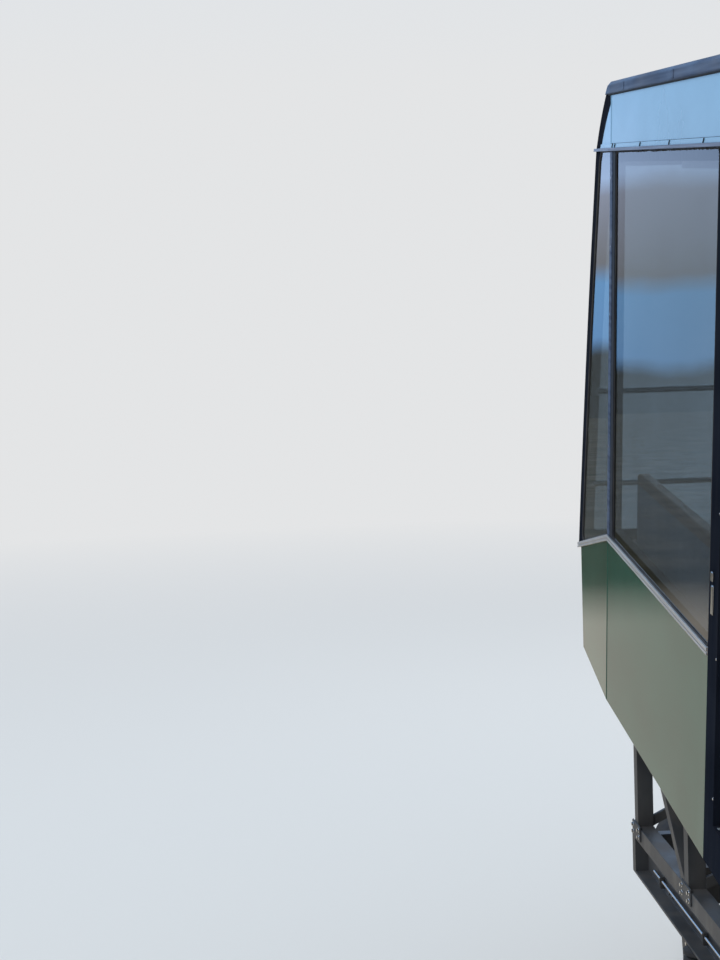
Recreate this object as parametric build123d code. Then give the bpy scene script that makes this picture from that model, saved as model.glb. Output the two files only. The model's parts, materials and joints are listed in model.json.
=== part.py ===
from build123d import *
import math
import os

# Funicular car: a level cabin on an inclined four-wheel chassis.
# Millimetres. The chassis stands on its flange tips at z = 0, with +Z square to the rails.
# -Y is the downhill end, +Y the uphill end, and X runs across the track.
# Cabin pieces are drawn level, with z = 0 on top of the floor, and are then tilted onto the wedge.

os.makedirs("parts", exist_ok=True)

# Track and running gear
GAUGE = 1200.0
AXLE_SPACING = 4000.0
TREAD_RADIUS = 300.0
FLANGE_HEIGHT = 28.0
FLANGE_THICKNESS = 28.0
FLANGE_PLAY = 7.0
TREAD_WIDTH = 100.0
TREAD_FALL = 4.0
RIM_DEPTH = 48.0
WEB_THICKNESS = 24.0
WEB_DISH = 30.0
HUB_RADIUS = 112.0
HUB_PROUD = 12.0
HUB_BEVEL = 6.0
HUB_TAPER = 40.0
AXLE_RADIUS = 65.0
JOURNAL_RADIUS = 52.0
JOURNAL_GAP = 0.4
JOURNAL_END_GAP = 6.0
WEB_HOLES = 5
WEB_HOLE_RADIUS = 36.0

# Chassis
SOLE_BAR_X = 800.0
SOLE_BAR_WIDTH = 80.0
SOLE_BAR_WALL = 12.0
CHASSIS_BOTTOM = 550.0
CHASSIS_DEPTH = 200.0
CHASSIS_HALF_LENGTH = 3100.0
HEADSTOCK = 60.0
CROSS_MEMBER_WIDTH = 100.0
CROSS_MEMBER_DROP = 10.0
CROSS_MEMBER_YS = [-2560.0, -1440.0, -500.0, 500.0, 1440.0, 2560.0]
JACK_PAD = 140.0
JACK_PAD_THICKNESS = 16.0
JACK_PAD_Y = 1100.0

# Axleboxes, horn guides and springs
BOX_WIDTH = 150.0
BOX_LENGTH = 190.0
BOX_HEIGHT = 210.0
BOX_CORNER = 18.0
BOX_COVER = 26.0
BOX_CAP_RADIUS = 76.0
BOX_CAP = 8.0
HORN_PLATE = 24.0
HORN_WIDTH = 74.0
HORN_TIE = 30.0
SPRING_RADIUS = 66.0
SPRING_NECK = 44.0
SPRING_RINGS = 3
SPRING_FLANK = 0.3  # share of a ring's height that slopes, at each side
SEAT_GAP = 0.3

# Rail brakes, guards, buffers and couplings
BRAKE_LENGTH = 240.0
BRAKE_JAW = 22.0
BRAKE_JAW_GAP = 96.0
BRAKE_FOOT = 6.0
BRAKE_HEAD_BOTTOM = 230.0
BRAKE_HEAD_DEPTH = 110.0
BRAKE_HANGER = 60.0
BRAKE_RAM_RADIUS = 40.0
BRAKE_RAM = 120.0
RAIL_HEAD_WIDTH = 65.0
GUARD_WIDTH = 110.0
GUARD_PLATE = 20.0
GUARD_RIB = 90.0
GUARD_FOOT = 38.0
BUFFER_X = 560.0
BUFFER_RADIUS = 95.0
BUFFER_LENGTH = 300.0
BUFFER_STEM = 55.0
BUFFER_PLATE = 20.0
BUFFER_STEM_END = 90.0
BUFFER_NOSE = 110.0
BUFFER_SHOULDER = 15.0
BUFFER_BEVEL = 25.0
CLEVIS_EAR = 26.0
CLEVIS_GAP = 64.0
CLEVIS_BORE_RADIUS = 22.5
CLEVIS_RADIUS = 62.0
CLEVIS_Z = 392.0
CLEVIS_REACH = 70.0
CLEVIS_BLOCK = 90.0
TOW_PLATE = 36.0
TOW_BORE_RADIUS = 25.0
TOW_FLANGE = (220.0, 16.0, 150.0)  # width, thickness, height
POWER_PACK_WIDTH = 900.0
POWER_PACK_HEIGHT = 300.0
POWER_PACK_OVERLAP = 30.0

# Wedge between chassis and cabin
GRADE_DEG = 8.5
FLOOR_HEIGHT = 1420.0
TRUSS_CHORD = 70.0
TRUSS_POST = 70.0
TRUSS_BRACE = 50.0
TRUSS_YS = [-3030.0, -2020.0, -1010.0, 0.0, 1010.0, 2020.0, 2980.0]
TRUSS_OPEN_BAYS = 4
CROSS_BRACE_YS = [-2990.0, -2000.0]
CROSS_BRACE = 44.0
BRACE_END = 52.0

# Cabin outline, level frame
HALF_WIDTH = 1100.0
WALL = 50.0
DOOR_HALF = 650.0
POST = 112.0
CORNER_POST = 94.0
WINDOW_LENGTH = 1575.0
CORNER_Y = DOOR_HALF + POST + WINDOW_LENGTH + CORNER_POST
TAPER_DEG = 3.5
NOSE_ROOM = 1300.0
BOW_RADIUS = 5200.0

# Nose outline at the pillar edge: reach ahead of the corner fold, height above the floor
TIP_REACH = 989.0
TIP_Z = 343.0
BELLY_REACH = 752.0
BELLY_Z = 1355.0
BROW_REACH = 447.0
BROW_Z = 2367.0
CROWN_REACH = 240.0
CROWN_Z = 2555.0
CROWN_END_REACH = -197.0
CROWN_OVERRUN = 30.0
APRON_REACH = 901.0
APRON_Z = 324.0
APRON_UNDERCUT_DEG = 11.7
SILL_TUCK_DEG = 12.0
SILL_TUCK_RUN = 200.0
APRON_OVERRUN = 300.0
NOSE_ROOT = 600.0
BOW_SWEEP_DEG = 44.0

# Heights above the cabin floor
SKIRT_Z = -180.0
WAIST_Z = 600.0
WAIST_BAND = 28.0
WAIST_DROP_DEG = 16.3
WAIST_PROUD = 7.0
WAIST_LIP = 9.0
WAIST_GROOVE = 5.0
WAIST_GROOVE_DEPTH = 5.0
GUTTER_Z = 2364.0
GUTTER_DEPTH = 13.0
GUTTER_PROUD = 13.0
UPSTAND = 18.0
UPSTAND_PROUD = 5.0
ROOF_Z = 2609.0
RIM_TOP_Z = 2659.0
ROOF_CROWN_Z = 2719.0
RIM_PROUD = 9.0
RIM_CHAMFER = 14.0
ROOF_SKIN = 40.0
ROOF_FOOT = 100.0
CEILING_Z = 2400.0
CEILING_THICKNESS = 12.0
DECK = 40.0
FLOOR_BEAM_DEPTH = 120.0
FLOOR_BEAM = 80.0
FLOOR_BEAM_YS = [-2940.0, -2391.0, -1830.0, -1270.0, -706.0, 0.0, 706.0, 1270.0, 1830.0, 2391.0, 2940.0]
FLOOR_INNER_BEAM_X = 270.0
PANEL_GAP = 0.3

# Windows and windscreen
PANE = 8.0
PANE_INSET = 5.0
GLASS_RAIL = 46.0
PILLAR_DEPTH = 106.0
PILLAR_FACE = 78.0
SCREEN_SILL = 60.0
SCREEN_HEAD_Z = 2300.0
SCREEN_PANE = 10.0
SCREEN_INSET = 3.0

# Doors
DOOR_HEAD_Z = 2280.0
LEAF_THICKNESS = 35.0
LEAF_GAP = 5.0
LEAF_LAP = 28.0
LEAF_FOOT_Z = 10.0
LEAF_STILE = 62.0
LEAF_HEAD = 99.0
LEAF_KICK = 150.0
MEETING_GAP = 6.0
TRACK_WIDTH = 45.0
TRACK_HEIGHT = 66.0
TRACK_WALL = 5.0
TRACK_SLOT = 20.0
TRACK_HALF_LENGTH = 1400.0
TRACK_ROOF = 20.0
HANGER_PLATE = 8.0
HANGER_LENGTH = 70.0
HANGER_INSET = 110.0
ROLLER_RADIUS = 18.0
ROLLER_SIDE_GAP = 2.0

# Fittings inside
BENCH_START = 800.0
BENCH_END = 2260.0
BENCH_WALL_GAP = 52.0
BENCH_DEPTH = 440.0
BENCH_TOE = 40.0
BENCH_HEIGHT = 370.0
BENCH_SHEET = 18.0
BACK_HEIGHT = 530.0
CUSHION = 80.0
BACK_CUSHION = 70.0
BACK_REVEAL = 30.0
CUSHION_CORNER = 20.0
TIMBER_HEIGHT = 46.0
TIMBER_WIDTH = 60.0
TIMBER_ROUND = 16.0
POLE_RADIUS = 17.0
POLE_FOOT_RADIUS = 34.0
POLE_FOOT = 12.0
TEE_RADIUS = 22.0
TEE_REACH = 30.0
POLE_X = 520.0
POLE_YS = [770.0, 2290.0]
OVERHEAD_RAIL_Z = 1930.0
NOSE_RAILS = [(700.0, 1190.0), (826.0, 690.0)]  # reach, height
NOSE_RAIL_RADIUS = 16.0
DESK_X = -480.0
DESK_WIDTH = 760.0
DESK_REACH = 520.0
DESK_DEPTH = 400.0
DESK_HEIGHT = 1000.0
DESK_LIP_Z = 880.0
DESK_TOP_DEPTH = 90.0
DESK_FOOT_TUCK = 90.0
DESK_KNEE_TUCK = 60.0
DESK_KNEE_Z = 640.0
DESK_BROW_Z = 800.0
LIGHT_X = 420.0
LIGHT_WIDTH = 130.0
LIGHT_DEPTH = 26.0
LIGHT_BEVEL = 18.0
LIGHT_HALF_LENGTH = 2200.0

# Lamps and wiper
LAMP_Z = 110.0
LAMP_DEPTH = 90.0
LAMP_HOLE = 400.0
LAMPS = [("headlamps", 740.0, 88.0), ("tail_lamps", 480.0, 56.0)]  # node, x, radius
LAMP_PROUD = 20.0
LAMP_ROUND = 10.0
WIPER_X = 120.0
WIPER_ARM = 14.0
WIPER_STANDOFF = 8.0
WIPER_ARM_DEPTH = 14.0
WIPER_ARM_LIFT = 16.0
WIPER_BLADE_DEPTH = 18.0
WIPER_CAP = 20.0
WIPER_FOOT_Z = 338.0
WIPER_PIVOT_RADIUS = 22.0
WIPER_TOP_Z = 1380.0
WIPER_BLADE_FOOT_Z = 860.0
WIPER_BLADE_TOP_Z = 1700.0

# Places worked out from the sizes above
AXLE_Z = TREAD_RADIUS + FLANGE_HEIGHT
FLANGE_FACE_X = GAUGE / 2 - FLANGE_PLAY
CHASSIS_TOP = CHASSIS_BOTTOM + CHASSIS_DEPTH
GRADE = math.radians(GRADE_DEG)
BEAM_Z = -DECK - FLOOR_BEAM_DEPTH
WEDGE_TOP = FLOOR_HEIGHT + BEAM_Z / math.cos(GRADE)
TAPER = math.tan(math.radians(TAPER_DEG))
WAIST_DROP = math.tan(math.radians(WAIST_DROP_DEG))
BOW_CENTRE_Y = math.sqrt(BOW_RADIUS**2 - (HALF_WIDTH - TIP_REACH * TAPER) ** 2) - CORNER_Y - TIP_REACH
HIGH_Z = 3000.0
LOW_Z = -600.0
WIDE = 1400.0
SEAT = Location((0, 0, FLOOR_HEIGHT), (-GRADE_DEG, 0, 0))


def block(x0, x1, y0, y1, z0, z1):
    """A box from its lowest to its highest corner."""
    return Pos((x0 + x1) / 2, (y0 + y1) / 2, (z0 + z1) / 2) * Box(x1 - x0, y1 - y0, z1 - z0)


def mirrored(shape):
    """The same piece on the other side of the car."""
    return mirror(shape, about=Plane.YZ)


def uphill(shape):
    """The same piece at the other end of the car."""
    return mirror(shape, about=Plane.XZ)


def both_sides(shape):
    return [shape, mirrored(shape)]


def four(shape):
    return both_sides(shape) + both_sides(uphill(shape))


def plate_yz(points, x0, x1):
    """A flat plate cut to (y, z) points and spanning x0 to x1."""
    outline = Face(Wire.make_polygon([Vector(x0, y, z) for y, z in points]))
    return extrude(outline, amount=x1 - x0, dir=(1, 0, 0))


def plate_xz(points, y0, y1):
    """A flat plate cut to (x, z) points and spanning y0 to y1."""
    outline = Face(Wire.make_polygon([Vector(x, y0, z) for x, z in points]))
    return extrude(outline, amount=y1 - y0, dir=(0, 1, 0))


def rod_x(radius, x0, x1, y, z):
    return Pos((x0 + x1) / 2, y, z) * Rot(0, 90, 0) * Cylinder(radius, x1 - x0)


def rod_y(radius, y0, y1, x, z):
    return Pos(x, (y0 + y1) / 2, z) * Rot(90, 0, 0) * Cylinder(radius, y1 - y0)


def rod_z(radius, z0, z1, x, y):
    return Pos(x, y, (z0 + z1) / 2) * Cylinder(radius, z1 - z0)


# Cabin envelope: every wall, pane and panel is a slice of these shapes
def plan(inset):
    """Everything inside the side walls, moved in by inset; the noses taper."""
    end = CORNER_Y + NOSE_ROOM
    end_x = HALF_WIDTH - NOSE_ROOM * TAPER
    points = [
        (-end_x, -end),
        (end_x, -end),
        (HALF_WIDTH, -CORNER_Y),
        (HALF_WIDTH, CORNER_Y),
        (end_x, end),
        (-end_x, end),
        (-HALF_WIDTH, CORNER_Y),
        (-HALF_WIDTH, -CORNER_Y),
    ]
    face = Face(Wire.make_polygon([Vector(x, y, LOW_Z) for x, y in points]))
    if inset:
        face = offset(face, amount=-inset, kind=Kind.INTERSECTION)
    return extrude(face, amount=HIGH_Z - LOW_Z, dir=(0, 0, 1))


def bow_point(reach, z):
    """A point of the pillar edge, carried round to the middle of the bowed nose."""
    edge_x = HALF_WIDTH - reach * TAPER
    return Vector(0, -math.hypot(BOW_CENTRE_Y + CORNER_Y + reach, edge_x), z)


def bowed(edges, inset):
    """Turns a side outline about the upright axis far behind the nose, so that the nose bows in plan."""
    face = Face(Wire(edges))
    if inset:
        face = offset(face, amount=-inset, kind=Kind.INTERSECTION)
    solid = revolve(face, axis=Axis.Z, revolution_arc=BOW_SWEEP_DEG)
    return Pos(0, BOW_CENTRE_Y, 0) * Rot(0, 0, -BOW_SWEEP_DEG / 2) * solid


def screen_nose(inset):
    """The nose above the waist: raked screen, brow and crown."""
    foot_z = TIP_Z - SILL_TUCK_RUN
    foot = bow_point(TIP_REACH + SILL_TUCK_RUN * math.tan(math.radians(SILL_TUCK_DEG)), foot_z)
    tip = bow_point(TIP_REACH, TIP_Z)
    belly = bow_point(BELLY_REACH, BELLY_Z)
    brow = bow_point(BROW_REACH, BROW_Z)
    crown = bow_point(CROWN_REACH, CROWN_Z)
    top_z = ROOF_CROWN_Z + CROWN_OVERRUN
    crown_end = bow_point(CROWN_END_REACH, top_z)
    back_top = bow_point(-NOSE_ROOT, top_z)
    back_foot = bow_point(-NOSE_ROOT, foot_z)
    edges = [
        Line(foot, tip),
        ThreePointArc(tip, belly, brow),
        ThreePointArc(brow, crown, crown_end),
        Line(crown_end, back_top),
        Line(back_top, back_foot),
        Line(back_foot, foot),
    ]
    return bowed(edges, inset)


def apron_nose(inset):
    """The nose below the waist: set back under the sill and undercut."""
    slope = math.tan(math.radians(APRON_UNDERCUT_DEG))
    top_z = WAIST_Z + APRON_OVERRUN
    corners = [
        bow_point(APRON_REACH + (top_z - APRON_Z) * slope, top_z),
        bow_point(APRON_REACH + (LOW_Z - APRON_Z) * slope, LOW_Z),
        bow_point(-NOSE_ROOT, LOW_Z),
        bow_point(-NOSE_ROOT, top_z),
    ]
    edges = [Line(corners[k], corners[(k + 1) % 4]) for k in range(4)]
    return bowed(edges, inset)


def above_waist(lift):
    """All the space above the waist line, which drops towards both noses."""
    end = CORNER_Y + NOSE_ROOM
    low = WAIST_Z + lift - NOSE_ROOM * WAIST_DROP
    points = [
        (-end, low),
        (-CORNER_Y, WAIST_Z + lift),
        (CORNER_Y, WAIST_Z + lift),
        (end, low),
        (end, HIGH_Z),
        (-end, HIGH_Z),
    ]
    return plate_yz(points, -WIDE, WIDE)


def slab(z0, z1):
    end = CORNER_Y + NOSE_ROOM
    return block(-WIDE, WIDE, -end, end, z0, z1)


NOSE_SPACE = block(-WIDE, WIDE, -CORNER_Y - NOSE_ROOM, -CORNER_Y, LOW_Z, HIGH_Z)
MID_SPACE = block(-WIDE, WIDE, -CORNER_Y, CORNER_Y, LOW_Z, HIGH_Z)


def whole(nose):
    """Joins a nose shape, its mirror image and the straight middle."""
    front = nose & NOSE_SPACE
    return front + MID_SPACE + uphill(front)


# Wheelsets
def wheelset():
    """Axle and both wheels, turned about X, with holes through the dished webs."""
    back_x = FLANGE_FACE_X - FLANGE_THICKNESS
    front_x = FLANGE_FACE_X + TREAD_WIDTH
    rim_inner = TREAD_RADIUS - RIM_DEPTH
    flange_r = TREAD_RADIUS + FLANGE_HEIGHT
    hub_x0 = back_x + HUB_PROUD
    hub_x1 = front_x + HUB_PROUD
    web_rim_x = (back_x + front_x) / 2 - WEB_THICKNESS / 2
    web_hub_x = web_rim_x + WEB_DISH
    box_x = SOLE_BAR_X + BOX_WIDTH / 2 - BOX_COVER - JOURNAL_END_GAP
    flange_tip_x = back_x + FLANGE_THICKNESS / 2
    points = [
        (0, 0),
        (0, AXLE_RADIUS),
        (hub_x0 - HUB_TAPER, AXLE_RADIUS),
        (hub_x0, HUB_RADIUS),
        (web_hub_x, HUB_RADIUS),
        (web_rim_x, rim_inner),
        (back_x, rim_inner),
        (back_x, flange_r - FLANGE_HEIGHT / 2),
        (back_x + FLANGE_THICKNESS / 4, flange_r),
        (flange_tip_x, flange_r),
        (FLANGE_FACE_X, TREAD_RADIUS + FLANGE_HEIGHT / 4),
        (FLANGE_FACE_X + FLANGE_PLAY, TREAD_RADIUS),
        (front_x, TREAD_RADIUS - TREAD_FALL),
        (front_x, rim_inner),
        (web_rim_x + WEB_THICKNESS, rim_inner),
        (web_hub_x + WEB_THICKNESS, HUB_RADIUS),
        (hub_x1, HUB_RADIUS - HUB_BEVEL),
        (hub_x1, JOURNAL_RADIUS),
        (box_x, JOURNAL_RADIUS),
        (box_x, 0),
    ]
    outline = Face(Wire.make_polygon([Vector(x, 0, r) for x, r in points]))
    half = revolve(outline, axis=Axis.X)
    middle_r = (HUB_RADIUS + rim_inner) / 2
    for k in range(WEB_HOLES):
        turn = math.radians(360.0 * k / WEB_HOLES)
        half -= rod_x(WEB_HOLE_RADIUS, back_x, front_x, middle_r * math.sin(turn), middle_r * math.cos(turn))
    return half + mirrored(half)


# Chassis
def chassis_frame():
    """Ladder of outward-facing channels, headstocks and box cross members, with jacking pads."""
    inner_x = SOLE_BAR_X - SOLE_BAR_WIDTH / 2
    outer_x = SOLE_BAR_X + SOLE_BAR_WIDTH / 2
    end = CHASSIS_HALF_LENGTH - HEADSTOCK
    bar = block(inner_x, outer_x, -end, end, CHASSIS_BOTTOM, CHASSIS_TOP)
    bar -= block(
        inner_x + SOLE_BAR_WALL,
        outer_x,
        -end,
        end,
        CHASSIS_BOTTOM + SOLE_BAR_WALL,
        CHASSIS_TOP - SOLE_BAR_WALL,
    )
    for y in (-JACK_PAD_Y, JACK_PAD_Y):
        bar += block(
            SOLE_BAR_X - JACK_PAD / 2,
            SOLE_BAR_X + JACK_PAD / 2,
            y - JACK_PAD / 2,
            y + JACK_PAD / 2,
            CHASSIS_BOTTOM - JACK_PAD_THICKNESS,
            CHASSIS_BOTTOM,
        )
    frame = bar + mirrored(bar)
    for y in CROSS_MEMBER_YS:
        frame += block(
            -inner_x,
            inner_x,
            y - CROSS_MEMBER_WIDTH / 2,
            y + CROSS_MEMBER_WIDTH / 2,
            CHASSIS_BOTTOM + CROSS_MEMBER_DROP,
            CHASSIS_TOP - CROSS_MEMBER_DROP,
        )
    stock = block(-outer_x, outer_x, -CHASSIS_HALF_LENGTH, -end, CHASSIS_BOTTOM, CHASSIS_TOP)
    return frame + stock + uphill(stock)


def axlebox():
    """One axlebox with a blind bore for the journal, at the right-hand downhill wheel."""
    x0 = SOLE_BAR_X - BOX_WIDTH / 2
    x1 = SOLE_BAR_X + BOX_WIDTH / 2
    y = -AXLE_SPACING / 2
    z0 = AXLE_Z - BOX_HEIGHT / 2
    body = block(x0, x1, y - BOX_LENGTH / 2, y + BOX_LENGTH / 2, z0, z0 + BOX_HEIGHT)
    body = fillet(body.edges().filter_by(Axis.Y), BOX_CORNER)
    body += rod_x(BOX_CAP_RADIUS, x1, x1 + BOX_CAP, y, AXLE_Z)
    return body - rod_x(JOURNAL_RADIUS + JOURNAL_GAP, x0 - 1, x1 - BOX_COVER, y, AXLE_Z)


def horn_guide():
    """The pair of horns that keep one axlebox in line, with the tie under it."""
    y = -AXLE_SPACING / 2
    reach = BOX_LENGTH / 2 + SEAT_GAP
    foot = AXLE_Z - BOX_HEIGHT / 2 - SEAT_GAP
    outer = reach + HORN_WIDTH
    points = [
        (y - outer - HORN_WIDTH, CHASSIS_BOTTOM),
        (y - outer, foot - HORN_TIE),
        (y + outer, foot - HORN_TIE),
        (y + outer + HORN_WIDTH, CHASSIS_BOTTOM),
    ]
    x0 = SOLE_BAR_X - HORN_PLATE / 2
    x1 = SOLE_BAR_X + HORN_PLATE / 2
    plate = plate_yz(points, x0, x1)
    return plate - block(x0 - 1, x1 + 1, y - reach, y + reach, foot, CHASSIS_BOTTOM + 1)


def axle_spring():
    """A stack of rubber rings between the axlebox and the sole bar."""
    z0 = AXLE_Z + BOX_HEIGHT / 2
    z1 = CHASSIS_BOTTOM
    pitch = (z1 - z0) / SPRING_RINGS
    points = [(0, z0), (SPRING_NECK, z0)]
    for k in range(SPRING_RINGS):
        foot = z0 + k * pitch
        flank = SPRING_FLANK * pitch
        points += [(SPRING_RADIUS, foot + flank), (SPRING_RADIUS, foot + pitch - flank)]
        points += [(SPRING_NECK, foot + pitch)]
    points += [(0, z1)]
    outline = Face(Wire.make_polygon([Vector(r, 0, z) for r, z in points]))
    return Pos(SOLE_BAR_X, -AXLE_SPACING / 2, 0) * revolve(outline, axis=Axis.Z)


def rail_brake():
    """One caliper: two jaws beside the rail head, under a cross member."""
    x = GAUGE / 2 + RAIL_HEAD_WIDTH / 2
    y = CROSS_MEMBER_YS[2]
    y0 = y - BRAKE_LENGTH / 2
    y1 = y + BRAKE_LENGTH / 2
    half_gap = BRAKE_JAW_GAP / 2
    top = BRAKE_HEAD_BOTTOM + BRAKE_HEAD_DEPTH
    head = block(x - half_gap - BRAKE_JAW, x + half_gap + BRAKE_JAW, y0, y1, BRAKE_HEAD_BOTTOM, top)
    for side in (-1, 1):
        inner = x + side * half_gap
        outer = x + side * (half_gap + BRAKE_JAW)
        head += block(min(inner, outer), max(inner, outer), y0, y1, BRAKE_FOOT, BRAKE_HEAD_BOTTOM)
    hanger_top = CHASSIS_BOTTOM + CROSS_MEMBER_DROP
    hanger = block(
        x - BRAKE_HANGER / 2,
        x + BRAKE_HANGER / 2,
        y - BRAKE_HANGER / 2,
        y + BRAKE_HANGER / 2,
        top,
        hanger_top,
    )
    ram = rod_x(BRAKE_RAM_RADIUS, x - half_gap - BRAKE_JAW - BRAKE_RAM, x, y, top - BRAKE_HEAD_DEPTH / 2)
    return head + hanger + ram


def rail_guard():
    """The plate that clears the rail ahead of one wheel, with its rib."""
    x = GAUGE / 2 + RAIL_HEAD_WIDTH / 2
    y1 = CROSS_MEMBER_YS[0] - CROSS_MEMBER_WIDTH / 2
    y0 = y1 - GUARD_PLATE
    top = CHASSIS_TOP - CROSS_MEMBER_DROP
    plate = block(x - GUARD_WIDTH / 2, x + GUARD_WIDTH / 2, y0, y1, GUARD_FOOT, top)
    rib = plate_yz(
        [(y1, CHASSIS_BOTTOM), (y1 + GUARD_RIB, CHASSIS_BOTTOM), (y1, GUARD_FOOT + GUARD_RIB)],
        x - GUARD_PLATE / 2,
        x + GUARD_PLATE / 2,
    )
    return plate + rib


def buffer():
    """A conical rubber buffer on the downhill headstock."""
    root_y = -CHASSIS_HALF_LENGTH
    z = CHASSIS_BOTTOM + CHASSIS_DEPTH / 2
    tip_y = root_y - BUFFER_LENGTH
    profile = [
        (0, root_y),
        (BUFFER_RADIUS, root_y),
        (BUFFER_RADIUS, root_y - BUFFER_PLATE),
        (BUFFER_STEM, root_y - BUFFER_PLATE),
        (BUFFER_STEM, root_y - BUFFER_STEM_END),
        (BUFFER_RADIUS - BUFFER_SHOULDER, tip_y + BUFFER_NOSE),
        (BUFFER_RADIUS, tip_y + BUFFER_BEVEL),
        (BUFFER_RADIUS - BUFFER_BEVEL, tip_y),
        (0, tip_y),
    ]
    outline = Face(Wire.make_polygon([Vector(r, y, 0) for r, y in profile]))
    return Pos(BUFFER_X, 0, z) * revolve(outline, axis=Axis.Y)


def rope_drawbar():
    """The clevis that takes the haul rope's socket pin, under the uphill headstock."""
    y = CHASSIS_HALF_LENGTH + CLEVIS_REACH
    root = CHASSIS_HALF_LENGTH - HEADSTOCK - CLEVIS_BLOCK
    half = CLEVIS_GAP / 2 + CLEVIS_EAR
    top_z = CHASSIS_BOTTOM
    body = block(-half, half, root, CHASSIS_HALF_LENGTH, CLEVIS_Z - CLEVIS_RADIUS, top_z)
    for side in (-1, 1):
        inner = side * CLEVIS_GAP / 2
        outer = side * half
        x0 = min(inner, outer)
        x1 = max(inner, outer)
        ear = block(x0, x1, CHASSIS_HALF_LENGTH, y, CLEVIS_Z - CLEVIS_RADIUS, CLEVIS_Z + CLEVIS_RADIUS)
        body += ear + rod_x(CLEVIS_RADIUS, x0, x1, y, CLEVIS_Z)
    body -= rod_x(CLEVIS_BORE_RADIUS, -half - 1, half + 1, y, CLEVIS_Z)
    return body


def tow_eye():
    """The recovery eye on the downhill headstock."""
    y = -CHASSIS_HALF_LENGTH - CLEVIS_REACH
    z = CHASSIS_BOTTOM + CHASSIS_DEPTH / 2
    half = TOW_PLATE / 2
    width, thickness, height = TOW_FLANGE
    root_y = -CHASSIS_HALF_LENGTH
    flange = block(-width / 2, width / 2, root_y - thickness, root_y, z - height / 2, z + height / 2)
    neck = block(-half, half, y, -CHASSIS_HALF_LENGTH, z - CLEVIS_RADIUS, z + CLEVIS_RADIUS)
    eye = flange + neck + rod_x(CLEVIS_RADIUS, -half, half, y, z)
    return eye - rod_x(TOW_BORE_RADIUS, -half - 1, half + 1, y, z)


def power_pack():
    """Brake power pack across two cross members, as one plain block."""
    y0 = CROSS_MEMBER_YS[1] - POWER_PACK_OVERLAP
    y1 = CROSS_MEMBER_YS[2] + POWER_PACK_OVERLAP
    z0 = CHASSIS_TOP - CROSS_MEMBER_DROP
    return block(-POWER_PACK_WIDTH / 2, POWER_PACK_WIDTH / 2, y0, y1, z0, z0 + POWER_PACK_HEIGHT)


# Wedge
def wedge_z(y):
    """Height of the underside of the cabin's floor frame."""
    return WEDGE_TOP - y * math.tan(GRADE)


def wedge_truss():
    """One side truss between the chassis and the tilted floor frame."""
    x0 = SOLE_BAR_X - SOLE_BAR_WIDTH / 2
    x1 = SOLE_BAR_X + SOLE_BAR_WIDTH / 2
    first = TRUSS_YS[0]
    last = TRUSS_YS[-1]
    outline = [(first, CHASSIS_TOP), (last, CHASSIS_TOP), (last, wedge_z(last)), (first, wedge_z(first))]
    truss = plate_yz(outline, x0, x1)
    for k in range(TRUSS_OPEN_BAYS):
        a = TRUSS_YS[k] + (TRUSS_POST if k == 0 else TRUSS_POST / 2)
        b = TRUSS_YS[k + 1] - TRUSS_POST / 2
        foot = CHASSIS_TOP + TRUSS_CHORD
        bay = [(a, foot), (b, foot), (b, wedge_z(b) - TRUSS_CHORD), (a, wedge_z(a) - TRUSS_CHORD)]
        truss -= plate_yz(bay, x0 - 1, x1 + 1)
        brace = [
            (a - TRUSS_BRACE, wedge_z(a) - TRUSS_CHORD),
            (a + TRUSS_BRACE / 2, wedge_z(a) - TRUSS_CHORD),
            (b + TRUSS_BRACE / 2, foot),
            (b - TRUSS_BRACE, foot),
        ]
        truss += plate_yz(brace, x0, x1)
    return truss


def cross_brace(y):
    """A crossed pair of flat bars between the two trusses, back to back where they cross."""
    inner_x = SOLE_BAR_X - SOLE_BAR_WIDTH / 2
    z0 = CHASSIS_TOP + TRUSS_CHORD
    z1 = wedge_z(y + CROSS_BRACE / 2) - TRUSS_CHORD
    rising = [(-inner_x, z0), (-inner_x, z0 + BRACE_END), (inner_x, z1), (inner_x, z1 - BRACE_END)]
    bar = plate_xz(rising, y - CROSS_BRACE / 2, y)
    return [bar, Pos(0, CROSS_BRACE / 2, 0) * mirror(bar, about=Plane.YZ)]


# Cabin floor
def floor_frame():
    """Long beams and cross beams under the deck."""
    z0 = BEAM_Z
    z1 = -DECK
    edge_x = HALF_WIDTH - WALL - PANEL_GAP
    grid = block(edge_x - FLOOR_BEAM / 2, edge_x, -CORNER_Y, CORNER_Y, z0, z1)
    for x in (FLOOR_INNER_BEAM_X, SOLE_BAR_X):
        grid += block(x - FLOOR_BEAM / 2, x + FLOOR_BEAM / 2, FLOOR_BEAM_YS[0], FLOOR_BEAM_YS[-1], z0, z1)
    grid += mirrored(grid)
    for y in FLOOR_BEAM_YS:
        grid += block(-edge_x, edge_x, y - FLOOR_BEAM / 2, y + FLOOR_BEAM / 2, z0, z1)
    return grid & plan(WALL + PANEL_GAP)


def floor_deck():
    inside = whole(apron_nose(WALL + PANEL_GAP)) & plan(WALL + PANEL_GAP)
    return inside & slab(-DECK, 0)


# Cabin walls
def lower_panel():
    """One green side panel, downhill of the right-hand doorway."""
    return block(HALF_WIDTH - WALL, HALF_WIDTH, -CORNER_Y, -DOOR_HALF - POST, SKIRT_Z, WAIST_Z)


def nose_apron():
    """The green nose shell below the waist, with holes for its lamps."""
    shell = (apron_nose(0) & plan(0) & NOSE_SPACE) - (apron_nose(WALL) & plan(WALL))
    shell = (shell & slab(SKIRT_Z, WAIST_Z)) - above_waist(0)
    for _, x, radius in LAMPS:
        for side in (-1, 1):
            shell -= lamp_rod(side * x, radius + SEAT_GAP, LAMP_HOLE)
    return shell


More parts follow.
